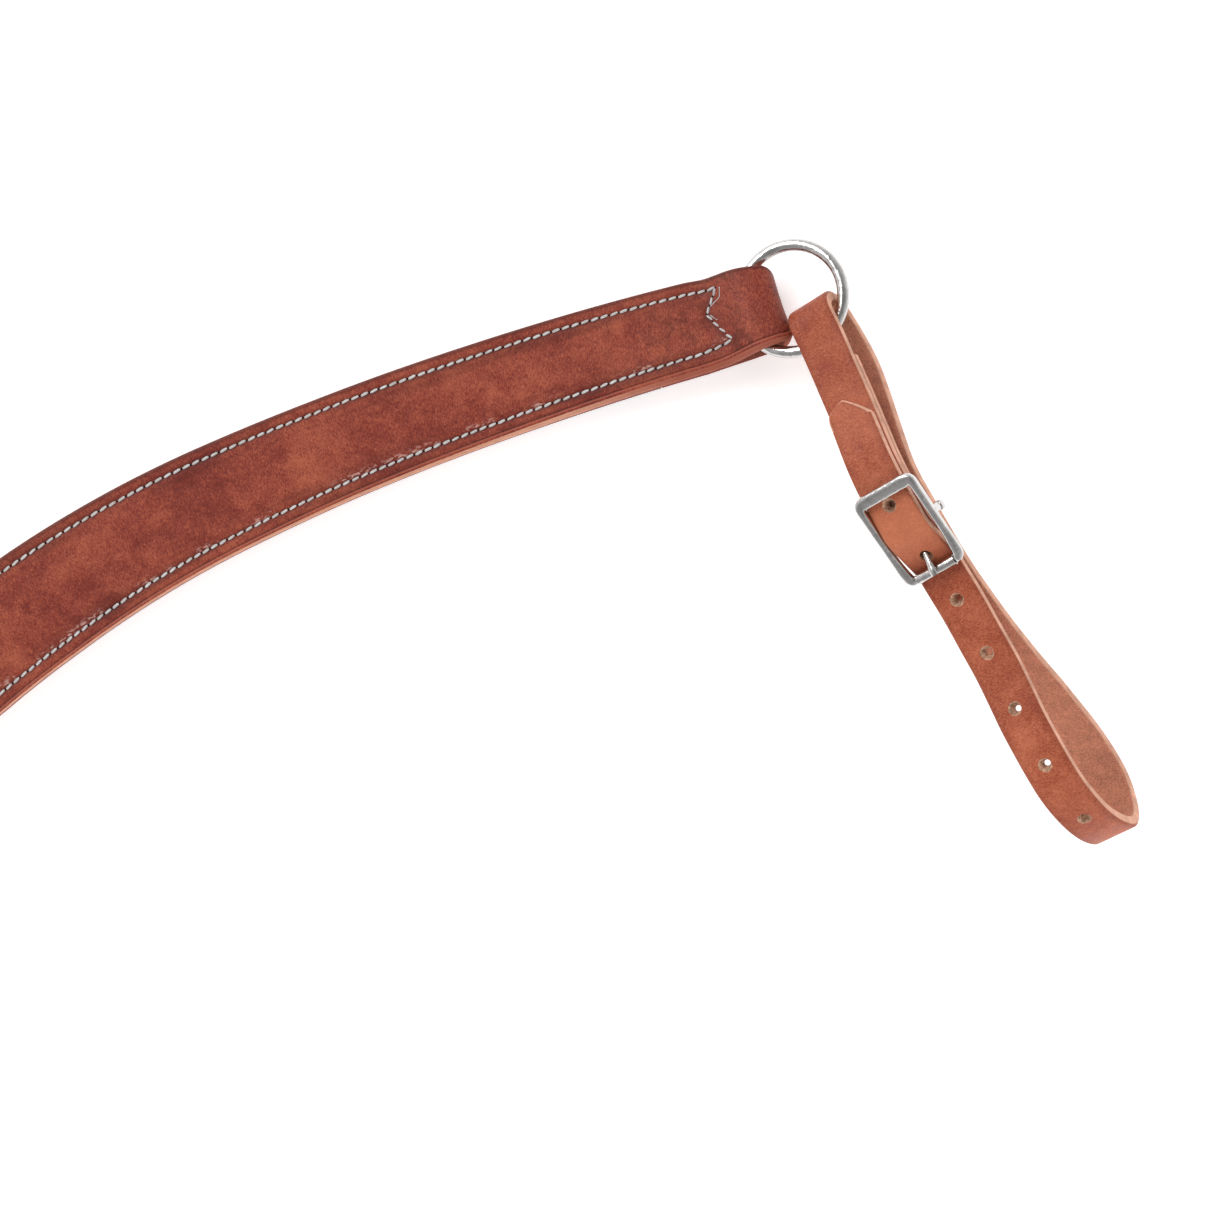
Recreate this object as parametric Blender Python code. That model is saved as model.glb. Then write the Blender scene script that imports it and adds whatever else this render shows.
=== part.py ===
"""Western breast-collar martingale, laid out flat on a table, face side up.

Two stitched leather shoulders meet at a centre ring. Each one carries an end ring with a
buckled tug strap, and a girth strap with a swivel bolt snap hangs from the centre ring.
Lengths are in millimetres and are turned into metres when a mesh is made.
"""
import math

import bmesh
import bpy
from mathutils import Vector

MM = 0.001
GAP = 0.3

# Leather
PLY = 4.6
SKIVED = 3.4

# Shoulder: arcs of the centre line as (length, radius), from the centre ring outwards
SHOULDER_ARCS = ((110.0, 1740.0), (120.0, 463.0), (110.0, 1000.0), (131.0, 1250.0))
SHOULDER_LENGTH = sum(length for length, radius in SHOULDER_ARCS)
OUTER_HEADING = math.radians(12.9)
INNER_HEADING = OUTER_HEADING + sum(length / radius for length, radius in SHOULDER_ARCS)
# Half width of the shoulder at distances from the outer fold
SHOULDER_HALF_WIDTHS = (
    (0.0, 15.5), (20.0, 17.5), (36.0, 18.8), (85.0, 19.7), (190.0, 21.4),
    (324.0, 24.6), (365.0, 24.8), (400.0, 22.8), (440.0, 17.0), (470.0, 14.0),
)
FOLD_TAB = 55.5
FOLD_CORNER = 4.0
RISE_START = 30.5
RISE_END = 13.5
FOLD_SKEW = (0.100, 0.0031)
SKEW_RUN = 45.0
ROLL = math.radians(8.0)
LIFT = 3.05
LIFT_RUN = 150.0
SEAM_INSET = 5.2
# The lower seam runs further in towards the outer fold: (station, inset)
LOWER_SEAM_INSETS = ((0.0, 5.4), (150.0, 6.1), (190.0, 6.5), (370.0, 7.1), (435.0, 7.3), (448.0, 8.3))
SEAM_RADIUS = 0.5
FISHTAIL_CORNER = 24.3
FISHTAIL_APEX = 30.7
APEX_RISE = 3.7
INNER_END_SHIFT = 14.0

# Rings: radius to the wire's centre line, and the wire's own radius
CENTRE_RING_RADIUS = 28.4
CENTRE_WIRE = 3.0
CENTRE_EYE = 4.8
CENTRE_WIRE_HEIGHT = SKIVED + CENTRE_EYE
SHOULDER_START = 15.8
END_RING_RADIUS = 21.55
END_WIRE = 2.5
END_EYE = 4.9
END_RING_TILT = math.radians(21.5)
END_RING_PIVOT = 13.9
END_RING_OFFSET = 18.25

# Tug strap: along, out of and across the strap are a, d and w
TUG_HEADING = math.radians(-59.7)
TUG_ROLL = math.radians(27.5)
TUG_HALF_WIDTH = 9.5
TUG_SKIVED = 3.2
TUG_DROP = 23.0
TUG_SHIFT = 2.6
HANG_TURN = math.radians(14.5)
HOLE_RADIUS = 2.4
TUG_HOLES = (67.3, 112.3, 136.1, 160.2, 184.1, 209.3)

# Buckle
HEEL_BAR = (77.0, 0.0)
HEEL_BAR_RADIUS = 2.0
HEEL_BAR_HALF = 14.2
TOP_BAR = (61.75, 13.7)
ROLLER_BAR = (98.0, 2.9)
FRAME_LENGTH = math.dist(TOP_BAR, ROLLER_BAR)
FRAME_YAW = 1.5
# Half of the frame from the middle of the top bar to the middle of the roller bar: down the
# frame, across it, and the bar's half width in the frame's plane and half depth out of it
FRAME_BAR = (
    (0.0, 0.0, 2.8, 1.75), (0.0, 9.6, 2.8, 1.8), (0.6, 11.6, 2.3, 1.85), (3.4, 12.3, 1.5, 1.9),
    (15.0, 12.2, 1.4, 1.9), (26.0, 12.0, 1.6, 1.9), (33.0, 11.7, 2.0, 1.95),
    (FRAME_LENGTH - 1.6, 11.4, 2.1, 1.9), (FRAME_LENGTH - 0.2, 10.4, 1.9, 1.8),
    (FRAME_LENGTH, 9.5, 1.7, 1.7), (FRAME_LENGTH, 9.2, 1.3, 1.3), (FRAME_LENGTH, 0.0, 1.3, 1.3),
)
EAR_ACROSS = 12.35
ROLLER_INNER = 1.55
ROLLER_OUTER = 2.1
ROLLER_HALF = 8.9
TONGUE_WIRE = 1.5
TONGUE_BASE_HALF = 2.2
SLOT_HALF = 2.6

# Girth strap
GIRTH_LENGTH = 400.0
GIRTH_HALF_WIDTH = 12.7
GIRTH_START = 16.5
GIRTH_TAB = 58.0
GIRTH_PIVOT = 10.4
SCREW_STATION = 38.0
HEAD_RADIUS = 4.7
HEAD_HEIGHT = 1.4
POST_RADIUS = 2.4
POST_BORE = 1.6
STUD_RADIUS = 1.3

# Snap: v runs from the swivel's bar away from the strap
SWIVEL_BAR = 2.4
SWIVEL_HALF = 16.0
BARREL_RADIUS = 6.4
BARREL_BORE = 3.7
BARREL_START = 19.4
BARREL_END = 58.0
BOLT_RADIUS = 3.2
BOLT_START = 44.0
BOLT_END = 68.0
HOOK_RADIUS = 2.9

# The origin is the middle of the outline on the table, so the centre ring stands above it
CENTRE_Y = 122.0

LEATHER_DARK = (0.33, 0.085, 0.042)
LEATHER_LIGHT = (0.50, 0.155, 0.075)
LINING_BROWN = (0.26, 0.10, 0.06)
THREAD_GREY = (0.62, 0.60, 0.57)
STEEL = (0.78, 0.77, 0.75)


def smooth(value):
    value = min(max(value, 0.0), 1.0)
    return value * value * (3.0 - 2.0 * value)


def read_table(table, value):
    """Piecewise linear value of a table of (key, value) pairs."""
    for (left, low), (right, high) in zip(table, table[1:]):
        if value <= right:
            return low + (high - low) * (value - left) / (right - left)
    return table[-1][1]


def arc(centre, start_radius, end_radius, start, end, step=15.0):
    """Points on an arc in a plane; the radius changes evenly from start to end (degrees)."""
    count = max(2, math.ceil(abs(end - start) / step))
    points = []
    for index in range(count + 1):
        part = index / count
        angle = math.radians(start + (end - start) * part)
        radius = start_radius + (end_radius - start_radius) * part
        points.append((centre[0] + radius * math.cos(angle), centre[1] + radius * math.sin(angle)))
    return points


def spline(points, step):
    """Catmull-Rom curve through plane points, with about one point per step."""
    ends = [points[0]] + list(points) + [points[-1]]
    result = [points[0]]
    for before, start, end, after in zip(ends, ends[1:], ends[2:], ends[3:]):
        count = max(1, round(math.dist(start, end) / step))
        for index in range(1, count + 1):
            t = index / count
            result.append(tuple(
                0.5 * (2 * q + (r - p) * t + (2 * p - 5 * q + 4 * r - s) * t * t
                       + (3 * q - p - 3 * r + s) * t ** 3)
                for p, q, r, s in zip(before, start, end, after)))
    return result


def plane_normals(path):
    """Left-hand normals of an open plane path, averaged at each point."""
    normals = []
    for index in range(len(path)):
        before = path[max(index - 1, 0)]
        after = path[min(index + 1, len(path) - 1)]
        run, rise = after[0] - before[0], after[1] - before[1]
        size = math.hypot(run, rise)
        normals.append((-rise / size, run / size))
    return normals


def offset(path, distance):
    return [(p + n[0] * distance, q + n[1] * distance)
            for (p, q), n in zip(path, plane_normals(path))]


def material(name, colour, roughness, metallic=0.0):
    made = bpy.data.materials.new(name)
    made.use_nodes = True
    shader = made.node_tree.nodes["Principled BSDF"]
    shader.inputs["Base Color"].default_value = (*colour, 1.0)
    shader.inputs["Roughness"].default_value = roughness
    shader.inputs["Metallic"].default_value = metallic
    return made


def joint_empty(name, position, side=1):
    """An empty on a joint's axis; the pieces of that body are its children."""
    empty = bpy.data.objects.new(name, None)
    empty.location = (side * position[0] * MM, position[1] * MM, position[2] * MM)
    bpy.context.collection.objects.link(empty)
    return empty


def solid(name, vertices, faces, look, parent, side=1):
    """One closed mesh, given in the object's frame and held by its joint's empty."""
    origin = parent.location
    mesh = bpy.data.meshes.new(name)
    placed = [Vector((side * p[0], p[1], p[2])) * MM - origin for p in vertices]
    mesh.from_pydata(placed, [], faces)
    work = bmesh.new()
    work.from_mesh(mesh)
    bmesh.ops.recalc_face_normals(work, faces=work.faces)
    work.to_mesh(mesh)
    work.free()
    mesh.materials.append(look)
    made = bpy.data.objects.new(name, mesh)
    bpy.context.collection.objects.link(made)
    made.parent = parent
    return made


def combine(target, tool, operation):
    """Join or cut a solid with another one, which is used up."""
    modifier = target.modifiers.new(operation.lower(), "BOOLEAN")
    modifier.operation = operation
    modifier.solver = "EXACT"
    modifier.object = tool
    bpy.context.view_layer.update()
    graph = bpy.context.evaluated_depsgraph_get()
    result = bpy.data.meshes.new_from_object(target.evaluated_get(graph))
    target.modifiers.clear()
    target.data = result
    bpy.data.objects.remove(tool)


def shade_round(made, angle=40.0):
    made.data.shade_smooth()
    made.data.set_sharp_from_angle(angle=math.radians(angle))


def skin(rings, closed):
    """Faces round a row of equal rings of points, joined up or with flat end caps."""
    sides = len(rings[0])
    vertices = [point for ring in rings for point in ring]
    faces = []
    last = len(rings) if closed else len(rings) - 1
    for row in range(last):
        near = row * sides
        far = ((row + 1) % len(rings)) * sides
        for column in range(sides):
            after = (column + 1) % sides
            faces.append((near + column, near + after, far + after, far + column))
    if not closed:
        faces.append(tuple(range(sides)))
        faces.append(tuple(range(len(vertices) - sides, len(vertices))))
    return vertices, faces


def tube(path, radius, sides, across, closed=False):
    """A bar along a path; across is square to the path. radius is one size, or one for each
    point, and a pair is (half size square to across, half size along across)."""
    rings = []
    count = len(path)
    path = [Vector(point) for point in path]
    for index, point in enumerate(path):
        if closed:
            along = path[(index + 1) % count] - path[index - 1]
        else:
            along = path[min(index + 1, count - 1)] - path[max(index - 1, 0)]
        first = along.cross(across).normalized()
        second = first.cross(along).normalized()
        size = radius[index] if isinstance(radius, list) else radius
        wide, deep = size if isinstance(size, tuple) else (size, size)
        turns = [2.0 * math.pi * side / sides for side in range(sides)]
        rings.append([point + first * wide * math.cos(t) + second * deep * math.sin(t)
                      for t in turns])
    return skin(rings, closed)


def turned(profile, sides, centre, axis, across, closed=False):
    """A profile of (radius, height) turned about an axis through the centre."""
    axis = Vector(axis).normalized()
    first = axis.cross(Vector(across)).normalized()
    second = axis.cross(first)
    rings = []
    for radius, height in profile:
        middle = Vector(centre) + axis * height
        turns = [2.0 * math.pi * side / sides for side in range(sides)]
        rings.append([middle + radius * (first * math.cos(t) + second * math.sin(t)) for t in turns])
    return skin(rings, closed)


def ribbon(path, half_widths, thicknesses, place):
    """A flat strap whose middle follows a plane path; place(p, q, across) gives points."""
    rings = []
    for (p, q), (np, nq), half, thick in zip(path, plane_normals(path), half_widths, thicknesses):
        low = (p - np * thick / 2, q - nq * thick / 2)
        high = (p + np * thick / 2, q + nq * thick / 2)
        rings.append([place(*low, -half), place(*low, half), place(*high, half), place(*high, -half)])
    vertices, faces = skin(rings, False)
    return vertices, slanted_triangles(faces)


def slanted_triangles(faces):
    """Split a ribbon's side faces along one slant, so that stacked plies stay parallel."""
    result = []
    for index, face in enumerate(faces[:-2]):
        a, b, c, d = face
        if index % 4 < 2:
            result += [(a, b, c), (a, c, d)]
        else:
            result += [(a, b, d), (b, c, d)]
    return result + faces[-2:]


def prism(outline, half, place):
    """A plane outline pushed out both ways across the strap."""
    rings = [[place(p, q, across) for p, q in outline] for across in (-half, half)]
    return skin(rings, False)


# ---- Shoulder -------------------------------------------------------------------------

def centre_line(s):
    """Point and heading of the shoulder's centre line at s from its inner fold."""
    heading = INNER_HEADING
    x = SHOULDER_START * math.cos(heading)
    y = CENTRE_Y + SHOULDER_START * math.sin(heading)
    for index, (length, radius) in enumerate(SHOULDER_ARCS):
        last = index == len(SHOULDER_ARCS) - 1
        run = s if last else min(s, length)
        turned_to = heading - run / radius
        x += radius * (math.sin(heading) - math.sin(turned_to))
        y += radius * (math.cos(turned_to) - math.cos(heading))
        heading = turned_to
        s -= run
        if s <= 0.0:
            break
    return x, y, heading


def shoulder_axes(s):
    """Point on the table plane, along, across and upward directions at s."""
    x, y, heading = centre_line(s)
    part = smooth((s - (SHOULDER_LENGTH - LIFT_RUN)) / LIFT_RUN)
    roll = ROLL * part
    along = Vector((math.cos(heading), math.sin(heading), 0.0))
    level = Vector((-math.sin(heading), math.cos(heading), 0.0))
    across = level * math.cos(roll) - Vector((0.0, 0.0, math.sin(roll)))
    upward = level * math.sin(roll) + Vector((0.0, 0.0, math.cos(roll)))
    return Vector((x, y, LIFT * part)), along, across, upward


def on_shoulder(s, h, u):
    """Point of the shoulder; the outer fold is slightly askew and its lower corner is longer."""
    point, along, across, upward = shoulder_axes(s)
    part = smooth((s - (SHOULDER_LENGTH - SKEW_RUN)) / (SKEW_RUN - 10.0))
    longer = FOLD_SKEW[1] * u * u - FOLD_SKEW[0] * u
    return point + across * u + upward * h + along * (part * longer)


def shoulder_half(s):
    """Half width, with round corners at both folds."""
    inset = max(FOLD_CORNER + PLY / 2 - min(s, SHOULDER_LENGTH - s), 0.0)
    corner = FOLD_CORNER - math.sqrt(FOLD_CORNER ** 2 - min(inset, FOLD_CORNER) ** 2)
    return read_table(SHOULDER_HALF_WIDTHS, SHOULDER_LENGTH - s) - corner


def ramp(start, end, from_height, to_height, count):
    """Points of a gentle S between two heights."""
    points = []
    for index in range(count + 1):
        part = index / count
        height = from_height + (to_height - from_height) * smooth(part)
        points.append((start + (end - start) * part, height))
    return points


def stations(start, end, step):
    count = round((end - start) / step)
    return [start + (end - start) * index / count for index in range(count + 1)]


def shoulder_run():
    """Stations shared by the front ply, the lining and the seam."""
    return stations(40.0, SHOULDER_LENGTH - 40.0, 17.0)


def shoulder_front_path():
    """Middle of the front ply from one skived tab, round both eyes, to the other tab."""
    run_height = SKIVED + GAP + PLY / 2
    tab_height = SKIVED / 2
    inner = (CENTRE_EYE + PLY, CENTRE_WIRE_HEIGHT)
    outer = (SHOULDER_LENGTH - END_EYE - PLY, SKIVED + END_EYE)
    thin, thick = SKIVED / 2, PLY / 2
    path = [(FOLD_TAB, tab_height), (40.0, tab_height), (25.0, tab_height), (15.0, tab_height)]
    path += arc(inner, CENTRE_EYE + thin, CENTRE_EYE + thick, 270.0, 90.0)
    path += ramp(12.0, 29.0, CENTRE_WIRE_HEIGHT + CENTRE_EYE + thick, run_height, 7)
    path += [(s, run_height) for s in shoulder_run()]
    path += ramp(SHOULDER_LENGTH - RISE_START, SHOULDER_LENGTH - RISE_END, run_height,
                 outer[1] + END_EYE + thick, 8)
    path += arc(outer, END_EYE + thick, END_EYE + thin, 90.0, -90.0)
    path += [(SHOULDER_LENGTH - back, tab_height) for back in (16.0, 28.0, 41.0, FOLD_TAB)]
    return path


def fold_thickness(path):
    """Full ply on the face, skived on the tabs, changing evenly round each eye."""
    result = []
    low, high = SKIVED / 2, SKIVED + GAP + PLY / 2
    for s, h in path:
        near_end = s < 12.0 or s > SHOULDER_LENGTH - 12.0
        part = smooth((h - low) / (2.2 * high - low)) if near_end else float(h > low + 1.0)
        result.append(SKIVED + (PLY - SKIVED) * part)
    return result


def seam_outline():
    """Stitch line as (s, u): both long sides and a fishtail at each end."""
    far_apex, far_corner = SHOULDER_LENGTH - FISHTAIL_APEX, SHOULDER_LENGTH - FISHTAIL_CORNER
    near_apex, near_corner = FISHTAIL_APEX + INNER_END_SHIFT, FISHTAIL_CORNER + INNER_END_SHIFT
    run = [near_corner] + shoulder_run() + stations(SHOULDER_LENGTH - 36.0, far_corner, 3.0)
    top = [(s, shoulder_half(s) - SEAM_INSET) for s in run]
    bottom = [(s, read_table(LOWER_SEAM_INSETS, s) - shoulder_half(s)) for s in reversed(run)]
    tail = fishtail(top[-1], (far_apex, APEX_RISE)) + [(far_apex, APEX_RISE)]
    tail += fishtail((far_apex, APEX_RISE), bottom[0])
    return top + tail + bottom + [(near_apex, 0.0)]


def fishtail(start, end):
    """Points between a corner of the seam and its V-shaped end's apex."""
    return [tuple(a + (b - a) * part for a, b in zip(start, end)) for part in (0.33, 0.67)]


def front_face():
    """Height of the front ply's face as a table over the run and the rise to the outer eye."""
    path = shoulder_front_path()
    last = SHOULDER_LENGTH - 14.0
    return [(s, h) for s, h in offset(path, PLY / 2) if 25.0 < s < last and h > SKIVED]


def build_shoulder(side, prefix, looks, body):
    path = shoulder_front_path()
    halves = [shoulder_half(min(max(s, 0.0), SHOULDER_LENGTH)) for s, h in path]
    shape = ribbon(path, halves, fold_thickness(path), on_shoulder)
    solid(prefix + "shoulder_front", *shape, looks["collar"], body, side)

    ends = FOLD_TAB + GAP
    middle = [(s, SKIVED / 2) for s in shoulder_run() if ends + 1.0 < s < SHOULDER_LENGTH - ends]
    lining = [(ends, SKIVED / 2)] + middle + [(SHOULDER_LENGTH - ends, SKIVED / 2)]
    halves = [shoulder_half(s) for s, h in lining]
    shape = ribbon(lining, halves, [SKIVED] * len(lining), on_shoulder)
    solid(prefix + "shoulder_lining", *shape, looks["lining"], body, side)

    lifted = GAP + SEAM_RADIUS
    face = front_face()
    route = [on_shoulder(s, read_table(face, s) + lifted, u) for s, u in seam_outline()]
    shape = tube(route, SEAM_RADIUS, 4, Vector((0.0, 0.0, 1.0)), closed=True)
    solid(prefix + "seam_thread", *shape, looks["thread"], body, side)


# ---- Rings ----------------------------------------------------------------------------

def ring_shape(centre, normal, start, radius, wire, around, sides):
    """A round ring; start is a direction in its plane."""
    other = normal.cross(start)
    turns = [2.0 * math.pi * step / around for step in range(around)]
    route = [centre + radius * (start * math.cos(t) + other * math.sin(t)) for t in turns]
    return tube(route, wire, sides, normal, closed=True)


def end_ring_axes():
    """Centre, normal and outward direction of the right end ring."""
    pivot_s = SHOULDER_LENGTH - END_RING_PIVOT
    point, along, across, upward = shoulder_axes(pivot_s)
    pivot = point + upward * (SKIVED + END_EYE)
    outward = along * math.cos(END_RING_TILT) + upward * math.sin(END_RING_TILT)
    normal = upward * math.cos(END_RING_TILT) - along * math.sin(END_RING_TILT)
    return pivot + outward * END_RING_OFFSET, normal, outward


# ---- Tug strap ------------------------------------------------------------------------

def tug_axes():
    """Hanging point on the ring's wire, frame origin, and directions a, d, w."""
    centre, normal, outward = end_ring_axes()
    along = Vector((math.cos(TUG_HEADING), math.sin(TUG_HEADING), 0.0))
    level = Vector((-math.sin(TUG_HEADING), math.cos(TUG_HEADING), 0.0))
    across = level * math.cos(TUG_ROLL) + Vector((0.0, 0.0, math.sin(TUG_ROLL)))
    out = along.cross(across)
    in_plane = (along - normal * along.dot(normal)).normalized()
    sideways = normal.cross(in_plane)
    direction = in_plane * math.cos(HANG_TURN) + sideways * math.sin(HANG_TURN)
    hang = centre + direction * END_RING_RADIUS
    return hang, hang + out * TUG_DROP + along * TUG_SHIFT, along, out, across


def tug_place():
    hang, origin, along, out, across = tug_axes()

    def place(a, d, w):
        return origin + along * a + out * d + across * w
    return place


MOUNT_LAYER = (
    (-7.0, -17.2), (0.0, -15.4), (12.0, -11.4), (25.0, -7.0), (38.0, -2.3), (50.0, 2.2),
    (62.0, 4.3), (77.0, 4.6),
)
LOOP_ROUTE = (
    (104.0, -2.0), (116.0, -2.6), (129.0, -1.8), (143.0, -1.0), (154.0, 1.3), (166.0, 4.2),
    (178.0, 5.3), (187.0, 5.5), (195.0, 4.8), (203.5, 1.8), (211.6, -3.3), (217.8, -9.9),
    (222.3, -17.5), (224.0, -24.0), (221.8, -31.5), (216.8, -37.5), (210.6, -41.8),
    (204.4, -43.2), (196.0, -42.8), (186.0, -40.5), (175.0, -36.0), (163.0, -30.7),
    (150.0, -24.0), (137.0, -18.4), (126.0, -14.5), (113.0, -11.0), (101.0, -8.8),
    (90.0, -8.3), (77.0, -8.3), (64.0, -8.9), (54.0, -11.8), (42.0, -18.6), (30.0, -26.0),
    (18.0, -32.5), (8.0, -34.8), (-2.7, -34.9), (-11.4, -33.0), (-15.3, -27.8),
    (-15.0, -22.0), (-12.0, -18.5),
)
TIP_START = 23.0
TIP_SHAPE = ((0.0, 2.4), (1.0, 4.4), (3.0, 6.5), (6.0, 8.3), (9.0, 9.2), (12.0, 9.5))
TUG_STEP = 9.0


def tip_layer():
    """Middle of the billet's end, lying on the mount layer, from the tip to the heel bar."""
    mount = spline(MOUNT_LAYER, 3.0)
    lifted = offset(mount, PLY + GAP)
    return [point for point in lifted if point[0] >= TIP_START and point[0] < HEEL_BAR[0] - 1.0]


def thin_out(points, step, keep):
    """Drop points that stand closer than a step, except the first ones."""
    result = list(points[:keep])
    for point in points[keep:]:
        if math.dist(point, result[-1]) >= step:
            result.append(point)
    return result


def billet_bend():
    """Over the wrapped heel bar and down under the roller."""
    over = HEEL_BAR_RADIUS + GAP + PLY + GAP + PLY / 2
    under = ROLLER_OUTER + GAP + PLY / 2
    span = math.dist(HEEL_BAR, ROLLER_BAR)
    rise = math.atan2(ROLLER_BAR[1] - HEEL_BAR[1], ROLLER_BAR[0] - HEEL_BAR[0])
    slope = math.degrees(rise - math.asin((over + under) / span))
    first = arc(HEEL_BAR, over, over, 90.0, 90.0 + slope, 10.0)
    second = arc(ROLLER_BAR, under, under, 270.0 + slope, 270.0, 12.0)
    return first + second


def tug_path():
    """Middle of the whole strap: tip, buckle, loop, ring, heel bar, folded tab."""
    mount = spline(MOUNT_LAYER, TUG_STEP)
    wrap_thick = HEEL_BAR_RADIUS + GAP + PLY / 2
    wrap_thin = HEEL_BAR_RADIUS + GAP + TUG_SKIVED / 2
    wrap = arc(HEEL_BAR, wrap_thick, wrap_thin, 90.0, -90.0, 20.0)
    under = offset(mount, -(PLY / 2 + 0.4 + TUG_SKIVED / 2))
    tab = [point for point in reversed(under) if 10.0 < point[0] < 62.0]
    tip = thin_out(tip_layer(), TUG_STEP, 5)
    loop = spline(LOOP_ROUTE + MOUNT_LAYER[:1], TUG_STEP)
    front = tip + billet_bend()
    return front, front + loop + mount[1:-1] + wrap + [(70.0, -3.3)] + tab


def tug_profile(path, front_count):
    """Half widths, rounded at the tip, and thicknesses, skived from the heel bar on."""
    halves, thicknesses = [], []
    run = 0.0
    wrap_start = max(i for i, point in enumerate(path) if math.dist(point, HEEL_BAR) < 4.7)
    first_wrap = min(i for i, point in enumerate(path)
                     if i > front_count and math.dist(point, HEEL_BAR) < 4.7)
    for index, point in enumerate(path):
        if index:
            run += math.dist(point, path[index - 1])
        halves.append(min(TUG_HALF_WIDTH, read_table(TIP_SHAPE, run)))
        part = min(max((index - first_wrap) / (wrap_start - first_wrap), 0.0), 1.0)
        thicknesses.append(PLY + (TUG_SKIVED - PLY) * part)
    return halves, thicknesses


def punch(strap, look, parent, side, place, centre, direction, radius, length):
    """A round hole through a strap along a direction given as (a, d)."""
    origin = Vector(place(centre[0], centre[1], 0.0))
    axis = Vector(place(centre[0] + direction[0], centre[1] + direction[1], 0.0)) - origin
    across = Vector(place(centre[0], centre[1], 1.0)) - origin
    shape = turned([(radius, -length / 2), (radius, length / 2)], 12, origin, axis, across)
    cutter = solid("hole_cutter", *shape, look, parent, side)
    combine(strap, cutter, "DIFFERENCE")


def tongue_route():
    over_roller = ROLLER_BAR[1] + ROLLER_OUTER + GAP + TONGUE_WIRE
    return [(79.9, 0.9), (84.4, 2.2), (90.0, 3.9), (ROLLER_BAR[0], over_roller),
            (ROLLER_BAR[0] + 1.6, over_roller - 0.3)]


def build_tug_strap(side, prefix, looks, body):
    place = tug_place()
    front, path = tug_path()
    halves, thicknesses = tug_profile(path, len(front))
    strap = solid(prefix + "tug_strap", *ribbon(path, halves, thicknesses, place),
                  looks["tug"], body, side)

    for a in TUG_HOLES:
        row = next(i for i in range(1, len(path)) if path[i][0] >= a)
        before, after = path[row - 1], path[row]
        part = (a - before[0]) / (after[0] - before[0])
        centre = (a, before[1] + (after[1] - before[1]) * part)
        size = math.dist(before, after)
        normal = ((before[1] - after[1]) / size, (after[0] - before[0]) / size)
        punch(strap, looks["tug"], body, side, place, centre, normal, HOLE_RADIUS, PLY + 0.36)

    route = tongue_route()
    direction = (route[3][0] - route[1][0], route[3][1] - route[1][1])
    punch(strap, looks["tug"], body, side, place, route[2], direction, HOLE_RADIUS, 14.0)

    reach = HEEL_BAR_RADIUS + GAP + PLY + GAP / 2
    low = HEEL_BAR_RADIUS + GAP + TUG_SKIVED + GAP / 2
    outline = arc(HEEL_BAR, reach, reach, 130.0, -50.0, 20.0)
    outline += [(HEEL_BAR[0] + 2.0, -low), (HEEL_BAR[0] - 5.0, -low), (HEEL_BAR[0] - 5.0, 0.0)]
    slot = solid("slot_cutter", *prism(outline, SLOT_HALF, place), looks["tug"], body, side)
    combine(strap, slot, "DIFFERENCE")


# ---- Buckle ---------------------------------------------------------------------------

def on_frame(place, down, across):
    """Point in the buckle frame's plane, which leans to the roller and is turned a little."""
    part = down / FRAME_LENGTH
    run = (ROLLER_BAR[0] - TOP_BAR[0], ROLLER_BAR[1] - TOP_BAR[1])
    return place(TOP_BAR[0] + run[0] * part, TOP_BAR[1] + run[1] * part,
                 across + FRAME_YAW * (1.0 - part))


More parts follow.
